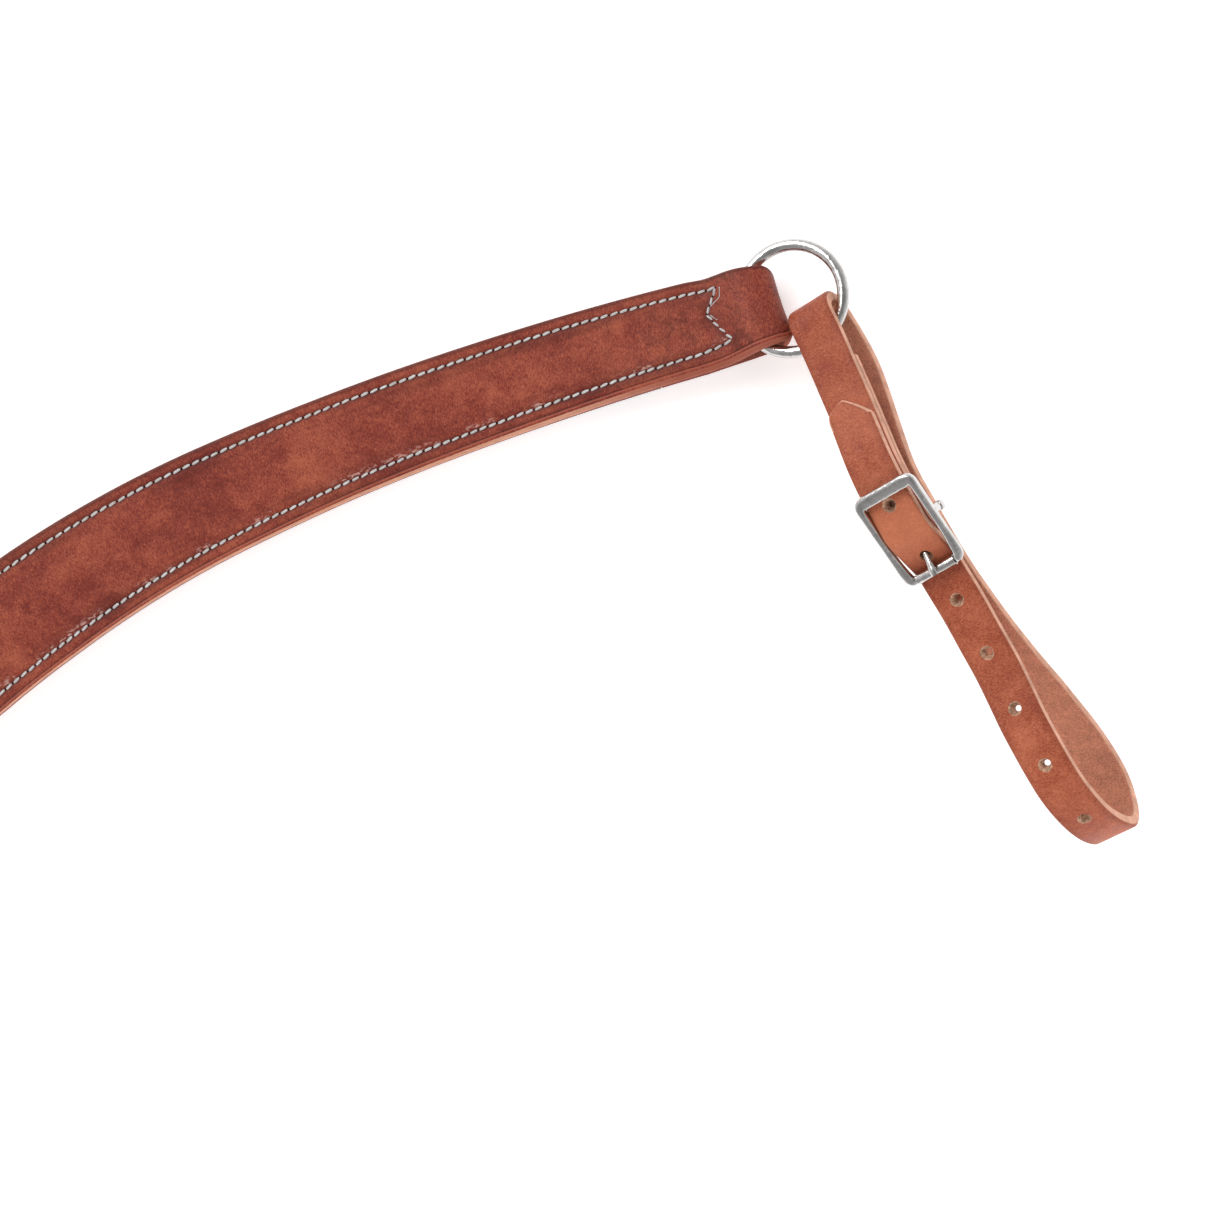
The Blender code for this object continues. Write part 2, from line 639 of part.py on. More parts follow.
def build_buckle(side, prefix, looks, tug, tongue, roller):
    place = tug_place()
    steel = looks["steel"]
    hang, origin, along, out, across = tug_axes()
    run = place(*ROLLER_BAR, 0.0) - place(*TOP_BAR, 0.0)
    facing = run.cross(across).normalized()

    name = prefix + "buckle_frame"
    loop = FRAME_BAR + tuple((down, -w, wide, deep) for down, w, wide, deep in FRAME_BAR[-2:0:-1])
    route = [on_frame(place, down, w) for down, w, wide, deep in loop]
    sizes = [(wide, deep) for down, w, wide, deep in loop]
    frame = solid(name, *tube(route, sizes, 12, facing, closed=True), steel, tug, side)
    tip = HEEL_BAR_HALF
    rounded = [(1.1, -tip), (HEEL_BAR_RADIUS, 0.8 - tip), (HEEL_BAR_RADIUS, tip - 0.8), (1.1, tip)]
    share = (HEEL_BAR[0] - TOP_BAR[0]) / (ROLLER_BAR[0] - TOP_BAR[0])
    shift = FRAME_YAW * (1.0 - share)
    shape = turned(rounded, 12, place(*HEEL_BAR, shift), across, along)
    combine(frame, solid("heel_bar", *shape, steel, tug, side), "UNION")
    side_bar_height = TOP_BAR[1] + (ROLLER_BAR[1] - TOP_BAR[1]) * share
    for edge in (shift - EAR_ACROSS, shift + EAR_ACROSS):
        ear = [place(HEEL_BAR[0], 0.3, edge), place(HEEL_BAR[0], side_bar_height - 0.2, edge)]
        combine(frame, solid("ear", *tube(ear, 1.75, 10, across), steel, tug, side), "UNION")
    shade_round(frame)

    inner = HEEL_BAR_RADIUS + 0.25
    half = TONGUE_BASE_HALF
    outer = inner + 1.8
    base = [(inner, -half), (outer, -half), (outer, half), (inner, half)]
    shape = turned(base, 16, place(*HEEL_BAR, 0.0), across, along, closed=True)
    made = solid(prefix + "buckle_tongue", *shape, steel, tongue, side)
    route = [place(a, d, 0.0) for a, d in tongue_route()]
    radii = [TONGUE_WIRE, TONGUE_WIRE, TONGUE_WIRE, TONGUE_WIRE, TONGUE_WIRE * 0.7]
    shaft = solid("tongue_shaft", *tube(route, radii, 10, across), steel, tongue, side)
    combine(made, shaft, "UNION")
    shade_round(made)

    sleeve = [(ROLLER_INNER, -ROLLER_HALF), (ROLLER_OUTER, -ROLLER_HALF),
              (ROLLER_OUTER, ROLLER_HALF), (ROLLER_INNER, ROLLER_HALF)]
    shape = turned(sleeve, 20, place(*ROLLER_BAR, 0.0), across, along, closed=True)
    shade_round(solid(prefix + "buckle_roller", *shape, steel, roller, side))


# ---- Girth strap ----------------------------------------------------------------------

def on_girth(v, h, u):
    return Vector((u, CENTRE_Y - GIRTH_START - v, h))


def girth_path():
    """One end of the strap, from its tab round the eye to the run on the table."""
    raised = HEAD_HEIGHT + 0.4
    tab, face = raised + SKIVED / 2, raised + SKIVED + GAP + PLY / 2
    eye = (CENTRE_EYE + PLY, CENTRE_WIRE_HEIGHT)
    half = [(GIRTH_TAB, tab), (44.0, tab), (30.0, tab)]
    half += ramp(25.0, 12.0, tab, SKIVED / 2, 4)
    half += arc(eye, CENTRE_EYE + SKIVED / 2, CENTRE_EYE + PLY / 2, 270.0, 90.0)
    half += ramp(12.0, 29.0, CENTRE_WIRE_HEIGHT + CENTRE_EYE + PLY / 2, face, 7)
    half += [(45.0, face)]
    half += ramp(62.0, 84.0, face, PLY / 2, 6)
    middle = [(v, PLY / 2) for v in stations(110.0, GIRTH_LENGTH - 110.0, 30.0)]
    return half + middle + [(GIRTH_LENGTH - v, h) for v, h in reversed(half)]


def girth_thickness(path):
    result = []
    for index, (v, h) in enumerate(path):
        from_end = min(index, len(path) - 1 - index)
        part = smooth((from_end - 7) / 12.0)
        result.append(SKIVED + (PLY - SKIVED) * part)
    return result


def build_girth_strap(looks, body):
    path = girth_path()
    halves = [GIRTH_HALF_WIDTH] * len(path)
    shape = ribbon(path, halves, girth_thickness(path), on_girth)
    strap = solid("girth_strap", *shape, looks["tug"], body)
    sideways = Vector((1.0, 0.0, 0.0))
    upward = Vector((0.0, 0.0, 1.0))
    top = HEAD_HEIGHT + 0.4 + SKIVED + GAP + PLY
    for name, v in (("upper", SCREW_STATION), ("lower", GIRTH_LENGTH - SCREW_STATION)):
        centre = on_girth(v, 0.0, 0.0)
        hole = turned([(POST_RADIUS + GAP, 1.0), (POST_RADIUS + GAP, 15.0)], 12,
                      centre, upward, sideways)
        combine(strap, solid("screw_hole", *hole, looks["tug"], body), "DIFFERENCE")
        cap = HEAD_HEIGHT + 0.1
        outside = [(HEAD_RADIUS - 0.5, 0.1), (HEAD_RADIUS, 0.6), (HEAD_RADIUS, cap),
                   (POST_RADIUS, cap), (POST_RADIUS, top - 0.2)]
        bore = [(POST_BORE, top - 0.2), (POST_BORE, 3.0)]
        post = turned(outside + bore, 16, centre, upward, sideways)
        shade_round(solid(name + "_screw_post", *post, looks["steel"], body))
        head = top + GAP
        stud = [(STUD_RADIUS, 4.5), (STUD_RADIUS, head), (HEAD_RADIUS, head),
                (HEAD_RADIUS, head + 0.9), (HEAD_RADIUS - 0.6, head + HEAD_HEIGHT)]
        screw = turned(stud, 16, centre, upward, sideways)
        shade_round(solid(name + "_screw", *screw, looks["steel"], body))


# ---- Snap -----------------------------------------------------------------------------

def on_snap(x, v, z=0.0):
    """Snap point: across, away from the swivel's bar, and above the bar's height."""
    bar_y = CENTRE_Y - GIRTH_START - GIRTH_LENGTH + CENTRE_EYE + PLY + 0.6
    return Vector((x, bar_y - v, CENTRE_WIRE_HEIGHT + z))


def build_swivel(looks, body):
    upward = Vector((0.0, 0.0, 1.0))
    corner = 4.5
    loop = arc((SWIVEL_HALF - corner, corner), corner, corner, -90.0, 0.0, 30.0)
    loop += [(SWIVEL_HALF, 10.5), (13.0, 14.0), (6.5, 15.9)]
    outline = loop + [(0.0, 16.3)] + [(-x, v) for x, v in reversed(loop)]
    route = [on_snap(x, v) for x, v in outline]
    shape = tube(route, SWIVEL_BAR, 10, upward, closed=True)
    swivel = solid("snap_swivel", *shape, looks["steel"], body)
    away = Vector((0.0, -1.0, 0.0))
    hub = [(2.6, 14.0), (4.0, 15.2), (4.0, BARREL_START - GAP), (2.0, BARREL_START - GAP),
           (2.0, 23.2), (3.2, 23.2), (3.2, 25.2)]
    hub_shape = turned(hub, 16, on_snap(0.0, 0.0), away, upward)
    combine(swivel, solid("swivel_hub", *hub_shape, looks["steel"], body), "UNION")
    shade_round(swivel)


HOOK_ROUTE = (
    (-4.6, 53.0), (-8.5, 57.0), (-14.0, 62.0), (-18.2, 69.0), (-18.6, 77.0), (-14.8, 84.0),
    (-8.0, 87.0), (-2.4, 84.0), (0.0, 77.0), (0.0, BOLT_END + GAP),
)


def build_snap_body(looks, body):
    upward = Vector((0.0, 0.0, 1.0))
    away = Vector((0.0, -1.0, 0.0))
    wall = 3.4
    outside = [(2.4, BARREL_START), (BARREL_RADIUS - 0.8, BARREL_START),
               (BARREL_RADIUS, BARREL_START + 1.0), (BARREL_RADIUS, BARREL_END - 1.0),
               (BARREL_RADIUS - 0.8, BARREL_END)]
    inside = [(BARREL_BORE, BARREL_END), (BARREL_BORE, BARREL_START + wall),
              (2.4, BARREL_START + wall)]
    shape = turned(outside + inside, 20, on_snap(0.0, 0.0), away, upward, closed=True)
    barrel = solid("snap_body", *shape, looks["steel"], body)
    route = [on_snap(x, v) for x, v in spline(HOOK_ROUTE, 3.6)]
    radii = [HOOK_RADIUS] * (len(route) - 1) + [HOOK_RADIUS - 0.5]
    radii[0] = 1.6
    radii[1] = 2.2
    hook = solid("hook", *tube(route, radii, 10, upward), looks["steel"], body)
    combine(barrel, hook, "UNION")
    bore = turned([(BARREL_BORE, 40.0), (BARREL_BORE, BARREL_END + 1.5)], 20,
                  on_snap(0.0, 0.0), away, upward)
    combine(barrel, solid("bore_cutter", *bore, looks["steel"], body), "DIFFERENCE")
    half, start, end = 1.9, 32.0, 51.0
    window = [(-half, start), (half, start), (half, end), (-half, end)]
    rings = [[on_snap(x, v, z) for x, v in window] for z in (1.0, 9.0)]
    combine(barrel, solid("window_cutter", *skin(rings, False), looks["steel"], body),
            "DIFFERENCE")
    shade_round(barrel)


def build_snap_bolt(looks, bolt, spring):
    upward = Vector((0.0, 0.0, 1.0))
    away = Vector((0.0, -1.0, 0.0))
    rod = [(BOLT_RADIUS - 0.4, BOLT_START), (BOLT_RADIUS, BOLT_START + 0.5),
           (BOLT_RADIUS, BOLT_END - 0.8), (BOLT_RADIUS - 0.8, BOLT_END)]
    shape = turned(rod, 16, on_snap(0.0, 0.0), away, upward)
    made = solid("snap_bolt", *shape, looks["steel"], bolt)
    knob = [(1.4, 1.0), (1.4, 7.2), (2.8, 8.0), (2.8, 9.4), (2.0, 10.0)]
    shape = turned(knob, 14, on_snap(0.0, BOLT_START + 4.5), upward, away)
    combine(made, solid("thumb_knob", *shape, looks["steel"], bolt), "UNION")
    shade_round(made)

    turns, per_turn, wire, coil = 7, 12, 0.4, 2.7
    start, end = 25.2 + GAP + wire, BOLT_START - GAP - wire
    route = []
    for index in range(turns * per_turn + 1):
        part = index / (turns * per_turn)
        angle = 2.0 * math.pi * turns * part
        v = start + (end - start) * part
        route.append(on_snap(coil * math.cos(angle), v, coil * math.sin(angle)))
    shade_round(solid("snap_spring", *tube(route, wire, 5, away), looks["steel"], spring))


def main():
    for old in list(bpy.data.objects):
        bpy.data.objects.remove(old, do_unlink=True)
    looks = {
        "collar": material("collar_leather", LEATHER_DARK, 0.5),
        "tug": material("strap_leather", LEATHER_LIGHT, 0.5),
        "lining": material("lining_leather", LINING_BROWN, 0.8),
        "thread": material("seam_thread", THREAD_GREY, 0.8),
        "steel": material("polished_steel", STEEL, 0.2, 1.0),
    }
    centre = Vector((0.0, CENTRE_Y, CENTRE_WIRE_HEIGHT))
    root = joint_empty("root_axis", centre)
    shape = ring_shape(centre, Vector((0.0, 0.0, 1.0)), Vector((1.0, 0.0, 0.0)),
                       CENTRE_RING_RADIUS, CENTRE_WIRE, 40, 12)
    shade_round(solid("centre_ring", *shape, looks["steel"], root))

    ring_centre, normal, outward = end_ring_axes()
    hang = tug_axes()[0]
    place = tug_place()
    for side, prefix in ((1, "right_"), (-1, "left_")):
        shoulder = joint_empty(prefix + "shoulder_axis", centre, side)
        build_shoulder(side, prefix, looks, shoulder)
        ring = joint_empty(prefix + "end_ring_axis", ring_centre, side)
        shape = ring_shape(ring_centre, normal, outward, END_RING_RADIUS, END_WIRE, 36, 12)
        shade_round(solid(prefix + "end_ring", *shape, looks["steel"], ring, side))
        tug = joint_empty(prefix + "tug_axis", hang, side)
        build_tug_strap(side, prefix, looks, tug)
        tongue = joint_empty(prefix + "tongue_axis", place(*HEEL_BAR, 0.0), side)
        roller = joint_empty(prefix + "roller_axis", place(*ROLLER_BAR, 0.0), side)
        build_buckle(side, prefix, looks, tug, tongue, roller)

    girth = joint_empty("girth_axis", on_girth(GIRTH_PIVOT, CENTRE_WIRE_HEIGHT, 0.0))
    build_girth_strap(looks, girth)
    swivel = joint_empty("swivel_axis", on_snap(0.0, 0.0))
    build_swivel(looks, swivel)
    barrel = joint_empty("snap_axis", on_snap(0.0, BARREL_START))
    build_snap_body(looks, barrel)
    bolt = joint_empty("bolt_axis", on_snap(0.0, BOLT_START))
    build_snap_bolt(looks, bolt, barrel)


main()
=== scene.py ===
"""Looks of the western breast-collar martingale: saddle-stitched leather and polished hardware.

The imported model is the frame. The right half is built here and the left half is its mirror
image. Lengths are in millimetres until a mesh is made.
"""

import math
import random

import bmesh
import bpy
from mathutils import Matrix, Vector, kdtree, noise


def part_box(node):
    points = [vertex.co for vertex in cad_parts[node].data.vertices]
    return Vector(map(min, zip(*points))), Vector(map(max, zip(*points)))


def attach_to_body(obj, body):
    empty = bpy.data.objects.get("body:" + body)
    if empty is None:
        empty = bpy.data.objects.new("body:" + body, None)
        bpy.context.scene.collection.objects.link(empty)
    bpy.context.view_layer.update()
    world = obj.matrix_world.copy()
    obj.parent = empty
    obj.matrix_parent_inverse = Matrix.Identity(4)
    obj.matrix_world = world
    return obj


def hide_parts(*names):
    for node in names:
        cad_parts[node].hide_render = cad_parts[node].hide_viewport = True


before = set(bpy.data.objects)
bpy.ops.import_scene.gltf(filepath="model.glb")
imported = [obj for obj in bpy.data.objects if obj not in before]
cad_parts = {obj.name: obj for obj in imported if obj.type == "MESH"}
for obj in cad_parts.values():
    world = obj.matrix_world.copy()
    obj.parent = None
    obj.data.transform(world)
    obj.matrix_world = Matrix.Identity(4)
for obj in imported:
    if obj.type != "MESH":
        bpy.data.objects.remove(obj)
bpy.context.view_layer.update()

MM = 0.001
GAP = 0.3

# Leather: a full ply, and one pared down for a fold's tab
PLY = 4.6
SKIVED = 3.4

# Shoulder: s runs along it from the centre ring outwards, u across it and h upwards. The centre
# line's arcs are (length, radius) and the half widths are (distance from the outer end, width)
SHOULDER_ARCS = ((110.0, 1740.0), (120.0, 463.0), (110.0, 1000.0), (131.0, 1250.0))
SHOULDER_LENGTH = sum(length for length, radius in SHOULDER_ARCS)
OUTER_HEADING = math.radians(12.9)
INNER_HEADING = OUTER_HEADING + sum(length / radius for length, radius in SHOULDER_ARCS)
SHOULDER_HALF_WIDTHS = (
    (0.0, 15.5), (20.0, 17.5), (36.0, 18.8), (85.0, 19.7), (190.0, 21.4),
    (324.0, 24.6), (365.0, 24.8), (400.0, 22.8), (440.0, 17.0), (470.0, 14.0),
)
FOLD_TAB = 55.5
FOLD_CORNER = 4.0
RISE_START = 30.5
RISE_END = 13.5
FACE_START = 20.0
FACE_END = SHOULDER_LENGTH - 14.0
FOLD_SKEW = (0.100, 0.0031)
SKEW_RUN = 45.0
SKEW_EASE = 35.0
ROLL = math.radians(8.0)
LIFT = 3.05
LIFT_RUN = 150.0
SEAM_INSET = 5.2
LOWER_SEAM_INSETS = (
    (0.0, 5.4), (150.0, 6.1), (190.0, 6.5), (370.0, 7.1), (435.0, 7.3), (448.0, 8.3),
)
FISHTAIL_CORNER = 24.3
FISHTAIL_APEX = 30.7
APEX_RISE = 3.7
INNER_END_SHIFT = 14.0

# Rings: radius to the wire's centre line, and the wire's own radius
CENTRE_RING_RADIUS = 28.4
CENTRE_WIRE = 3.0
CENTRE_EYE = 4.8
CENTRE_EYE_RISE = (12.0, 29.0)
CENTRE_WIRE_HEIGHT = SKIVED + CENTRE_EYE
SHOULDER_START = 15.8
END_RING_RADIUS = 21.55
END_WIRE = 2.5
END_EYE = 4.9
END_RING_TILT = math.radians(21.5)
END_RING_PIVOT = 13.9
END_RING_OFFSET = 18.25

# Tug strap: along, out of and across the strap are a, d and w
TUG_HEADING = math.radians(-59.7)
TUG_ROLL = math.radians(27.5)
TUG_HALF_WIDTH = 9.5
TUG_SKIVED = 3.2
TUG_DROP = 23.0
TUG_SHIFT = 2.6
HANG_TURN = math.radians(14.5)
HOLE_RADIUS = 2.4
HOLE_CLOSING = 0.50
HOLE_LIP = 0.7
TUG_HOLES = (67.3, 112.3, 136.1, 160.2, 184.1, 209.3)
MOUNT_LAYER = (
    (-7.0, -17.2), (0.0, -15.4), (12.0, -11.4), (25.0, -7.0), (38.0, -2.3), (50.0, 2.2),
    (62.0, 4.3), (77.0, 4.6),
)
LOOP_ROUTE = (
    (104.0, -2.0), (116.0, -2.6), (129.0, -1.8), (143.0, -1.0), (154.0, 1.3), (166.0, 4.2),
    (178.0, 5.3), (187.0, 5.5), (195.0, 4.8), (203.5, 1.8), (211.6, -3.3), (217.8, -9.9),
    (222.3, -17.5), (224.0, -24.0), (221.8, -31.5), (216.8, -37.5), (210.6, -41.8),
    (204.4, -43.2), (196.0, -42.8), (186.0, -40.5), (175.0, -36.0), (163.0, -30.7),
    (150.0, -24.0), (137.0, -18.4), (126.0, -14.5), (113.0, -11.0), (101.0, -8.8),
    (90.0, -8.3), (77.0, -8.3), (64.0, -8.9), (54.0, -11.8), (42.0, -18.6), (30.0, -26.0),
    (18.0, -32.5), (8.0, -34.8), (-2.7, -34.9), (-11.4, -33.0), (-15.3, -27.8),
    (-15.0, -22.0), (-12.0, -18.5),
)
# The cut tip: half widths to either side and the first thicknesses, over the run from its point
TIP_START = 23.0
TIP_LEFT = ((0.0, 0.4), (0.9, 2.4), (2.6, 6.2), (3.8, 7.9), (6.0, 8.5), (20.0, 8.9), (45.0, 9.5))
TIP_RIGHT = ((0.0, 0.4), (1.2, 1.9), (4.0, 4.8), (7.0, 7.4), (9.0, 8.9), (10.5, 9.5))
TIP_THICKS = (2.6, 3.6, 4.2)
TIP_LENGTH = 10.0
TIP_STEP = 0.45
TAB_RUN = (10.0, 62.0)

# Buckle
HEEL_BAR = (77.0, 0.0)
HEEL_BAR_RADIUS = 2.0
HEEL_BAR_HALF = 14.2
TOP_BAR = (61.75, 13.7)
ROLLER_BAR = (98.0, 2.9)
FRAME_LENGTH = math.dist(TOP_BAR, ROLLER_BAR)
FRAME_YAW = 1.5
EAR_ACROSS = 12.35
ROLLER_INNER = 1.55
ROLLER_OUTER = 2.1
ROLLER_HALF = 8.9
TONGUE_WIRE = 1.5
TONGUE_BASE_HALF = 2.2
SLOT_HALF = 2.6
# Half of the frame's bar from the middle of the top bar to the middle of the roller bar:
# down the frame, across it, half width in the frame's plane, half depth out of it
FRAME_BAR = (
    (0.0, 0.0, 2.75, 1.7), (0.0, 6.0, 2.75, 1.7), (0.0, 9.2, 2.75, 1.75), (0.5, 11.3, 2.35, 1.85),
    (2.2, 12.1, 1.85, 2.1), (4.5, 12.15, 1.7, 2.3), (15.0, 12.15, 1.6, 2.2),
    (26.0, 12.1, 1.65, 1.9), (33.0, 11.8, 2.0, 1.95), (FRAME_LENGTH - 1.8, 11.4, 2.1, 1.9),
    (FRAME_LENGTH - 0.4, 10.5, 1.9, 1.8), (FRAME_LENGTH, 9.6, 1.7, 1.7),
    (FRAME_LENGTH, 9.1, 1.25, 1.25), (FRAME_LENGTH, 0.0, 1.25, 1.25),
)

# Girth strap
GIRTH_LENGTH = 400.0
GIRTH_HALF_WIDTH = 12.7
GIRTH_START = 16.5
GIRTH_TAB = 58.0
GIRTH_TAB_RISE = 25.0
GIRTH_FACE_FALL = (62.0, 84.0)
SCREW_STATION = 38.0
HEAD_RADIUS = 4.7
HEAD_HEIGHT = 1.4
HEAD_ROOM = 0.4
POST_RADIUS = 2.4
POST_BORE = 1.6

# Snap: v runs from the swivel's bar away from the strap
SWIVEL_BAR = 2.4
SWIVEL_HALF = 16.0
SWIVEL_CORNER = 4.5
HUB_END = 25.2
HUB_BORE = 2.4
BARREL_RADIUS = 6.4
BARREL_BORE = 3.7
BARREL_WALL = 3.4
BARREL_START = 19.4
BARREL_END = 58.0
BOLT_RADIUS = 3.2
BOLT_START = 44.0
BOLT_END = 68.0
WINDOW_START = 32.0
WINDOW_END = 51.0
WINDOW_HALF = 1.9
HOOK_RADIUS = 2.9
HOOK_ROUTE = (
    (-4.6, 53.0), (-8.5, 57.0), (-14.0, 62.0), (-18.2, 69.0), (-18.6, 77.0), (-14.8, 84.0),
    (-8.0, 87.0), (-2.4, 84.0), (0.0, 77.0), (0.0, BOLT_END + GAP),
)

CENTRE_Y = 122.0
SIDEWAYS = Vector((1.0, 0.0, 0.0))
AWAY = Vector((0.0, -1.0, 0.0))
UP = Vector((0.0, 0.0, 1.0))

# Detail of the leather and the sewing
FINE = 1.5
EDGE_RIM = 1.25
LOWER_RIM = ((0.0, 0.5), (150.0, 0.55), (400.0, 2.0), (471.0, 1.9))
FACE_SPAN = 50.0
CREASE_GAP = 1.3
CREASE_DEPTH = 0.30
SEAM_GROOVE = 0.30
STITCH_PITCH = 4.0
STITCH_SHARE = 0.86
STITCH_RADIUS = 0.53
STITCH_SLANT = math.radians(9.0)
# Painted highlight: the plain straps' grain is lightened in a band along the strap, centred here and
# reaching this far each way, for the light on the tug billet where it arches up in the buckle
PAINTED_HIGHLIGHT_MIDDLE = 56.0
PAINTED_HIGHLIGHT_REACH = 30.0
SOILED_RUN = (SHOULDER_LENGTH - 95.0, SHOULDER_LENGTH - 25.0)
HANDLED_RUN = (SHOULDER_LENGTH - 110.0, SHOULDER_LENGTH - 40.0)

# Studio
GREY_CARD = Vector((-0.41, -0.79, 0.445))
CAMERA_HEIGHT = 1.0
CAMERA_LENS = 73.0
CAMERA_SHIFT = Vector((-0.0736, -0.1231))


# ---- Shapes ---------------------------------------------------------------------------

def smooth(value):
    """An S from 0 to 1, level at both ends."""
    value = min(max(value, 0.0), 1.0)
    return value * value * (3.0 - 2.0 * value)


def read_table(table, value):
    """Piecewise linear value of a table of (key, value) pairs."""
    for (left, low), (right, high) in zip(table, table[1:]):
        if value <= right:
            return low + (high - low) * (value - left) / (right - left)
    return table[-1][1]


def arc(centre, start_radius, end_radius, start, end, step=6.0):
    """Points on an arc in a plane; the radius changes evenly from start to end (degrees)."""
    count = max(2, math.ceil(abs(end - start) / step))
    points = []
    for index in range(count + 1):
        part = index / count
        angle = math.radians(start + (end - start) * part)
        radius = start_radius + (end_radius - start_radius) * part
        points.append((centre[0] + radius * math.cos(angle), centre[1] + radius * math.sin(angle)))
    return points


def spline(points, step):
    """Catmull-Rom curve through points of any size, with about one point per step."""
    ends = [points[0]] + list(points) + [points[-1]]
    result = [tuple(points[0])]
    for before, start, end, after in zip(ends, ends[1:], ends[2:], ends[3:]):
        count = max(1, round(math.dist(start, end) / step))
        for index in range(1, count + 1):
            t = index / count
            result.append(tuple(
                0.5 * (2 * q + (r - p) * t + (2 * p - 5 * q + 4 * r - s) * t * t
                       + (3 * q - p - 3 * r + s) * t ** 3)
                for p, q, r, s in zip(before, start, end, after)))
    return result


def resample(points, step):
    """The same open line with points at one even step."""
    runs = [0.0]
    for before, after in zip(points, points[1:]):
        runs.append(runs[-1] + math.dist(before, after))
    count = max(1, round(runs[-1] / step))
    result, row = [], 0
    for index in range(count + 1):
        run = runs[-1] * index / count
        while row < len(runs) - 2 and runs[row + 1] < run:
            row += 1
        part = (run - runs[row]) / max(runs[row + 1] - runs[row], 1e-9)
        result.append(tuple(a + (b - a) * part for a, b in zip(points[row], points[row + 1])))
    return result


def plane_normals(path):
    """Left-hand normals of an open plane path, averaged at each point."""
    normals = []
    for index in range(len(path)):
        before = path[max(index - 1, 0)]
        after = path[min(index + 1, len(path) - 1)]
        run, rise = after[0] - before[0], after[1] - before[1]
        size = math.hypot(run, rise)
        normals.append((-rise / size, run / size))
    return normals


def offset(path, distance):
    """The path moved to its left by a distance."""
    return [(p + n[0] * distance, q + n[1] * distance)
            for (p, q), n in zip(path, plane_normals(path))]


def ramp(start, end, from_height, to_height, count):
    """Points of a gentle S between two heights."""
    points = []
    for index in range(count + 1):
        part = index / count
        height = from_height + (to_height - from_height) * smooth(part)
        points.append((start + (end - start) * part, height))
    return points


def stations(start, end, step):
    """Even stations from start to end, about one step apart."""
    count = max(1, round(abs(end - start) / step))
    return [start + (end - start) * index / count for index in range(count + 1)]


def skin(rings, closed):
    """Faces round a row of equal rings of points, joined up or with flat end caps."""
    sides = len(rings[0])
    vertices = [point for ring in rings for point in ring]
    faces = []
    last = len(rings) if closed else len(rings) - 1
    for row in range(last):
        near, far = row * sides, ((row + 1) % len(rings)) * sides
        for column in range(sides):
            after = (column + 1) % sides
            faces.append((near + column, near + after, far + after, far + column))
    if not closed:
        faces.append(tuple(range(sides)))
        faces.append(tuple(range(len(vertices) - sides, len(vertices))))
    return vertices, faces


def sweep(path, across, sizes, sides=20, closed=False, power=2.0):
    """A bar along a path. sizes are (in the plane square to across, along across) half sizes,
    one pair or one for each point; power 2 is an ellipse and more is squarer."""
    rings = []
    path = [Vector(point) for point in path]
    count = len(path)
    for index, point in enumerate(path):
        if closed:
            along = path[(index + 1) % count] - path[index - 1]
        else:
            along = path[min(index + 1, count - 1)] - path[max(index - 1, 0)]
        first = along.cross(across).normalized()
        second = first.cross(along).normalized()
        wide, deep = sizes[index] if isinstance(sizes, list) else sizes
        ring = []
        for side in range(sides):
            turn = 2.0 * math.pi * side / sides
            cosine, sine = math.cos(turn), math.sin(turn)
            ring.append(point
                        + first * wide * math.copysign(abs(cosine) ** (2.0 / power), cosine)
                        + second * deep * math.copysign(abs(sine) ** (2.0 / power), sine))
        rings.append(ring)
    return skin(rings, closed)


def turned(profile, sides, centre, axis, across, closed=False):
    """A profile of (radius, height) turned about an axis through the centre."""
    axis = Vector(axis).normalized()
    first = axis.cross(Vector(across)).normalized()
    second = axis.cross(first)
    rings = []
    for radius, height in profile:
        middle = Vector(centre) + axis * height
        turns = [2.0 * math.pi * side / sides for side in range(sides)]
        rings.append([middle + radius * (first * math.cos(t) + second * math.sin(t)) for t in turns])
    return skin(rings, closed)


def softened(profile, radius, steps=3, closed=False):
    """A profile whose corners are rounded off."""
    result = []
    count = len(profile)
    for index, point in enumerate(profile):
        if not closed and index in (0, count - 1):
            result.append(point)
            continue
        before, after = profile[index - 1], profile[(index + 1) % count]
        near, far = math.dist(point, before), math.dist(point, after)
        cut = min(radius, near * 0.45, far * 0.45)
        start = [p + (b - p) * cut / near for p, b in zip(point, before)]
        end = [p + (a - p) * cut / far for p, a in zip(point, after)]
        for step in range(steps + 1):
            t = step / steps
            result.append(tuple((1 - t) ** 2 * s + 2 * t * (1 - t) * p + t * t * e
                                for s, p, e in zip(start, point, end)))
    return result


def joined(*shapes):
    """Several (vertices, faces) as one."""
    vertices, faces = [], []
    for more, their in shapes:
        base = len(vertices)
        vertices += more
        faces += [tuple(base + corner for corner in face) for face in their]
    return vertices, faces


# ---- Materials ------------------------------------------------------------------------

class Nodes:
    """A node tree being written; inputs take plain values or other nodes' outputs."""

    def __init__(self, tree):
        self.tree = tree

    def add(self, kind, inputs=None, **settings):
        """A node with its inputs and settings."""
        made = self.tree.nodes.new(kind)
        for key, value in settings.items():
            setattr(made, key, value)
        for key, value in (inputs or {}).items():
            self.set(made.inputs[key], value)
        return made

    def set(self, socket, value):
        """Link an output to the socket, or set its value."""
        if isinstance(value, bpy.types.NodeSocket):
            self.tree.links.new(value, socket)
        else:
            socket.default_value = value

    def fit(self, value, low, high, to_low=0.0, to_high=1.0):
        """Smooth step from one range to another."""
        made = self.add("ShaderNodeMapRange", {
            "Value": value, "From Min": low, "From Max": high,
            "To Min": to_low, "To Max": to_high}, interpolation_type="SMOOTHSTEP")
        return made.outputs[0]

    def tones(self, value, *stops):
        """A colour ramp through (position, colour) stops."""
        made = self.add("ShaderNodeValToRGB", {"Fac": value})
        elements = made.color_ramp.elements
        while len(elements) < len(stops):
            elements.new(0.5)
        for element, (position, colour) in zip(elements, stops):
            element.position = position
            element.color = (*colour, 1.0)
        return made.outputs["Color"]


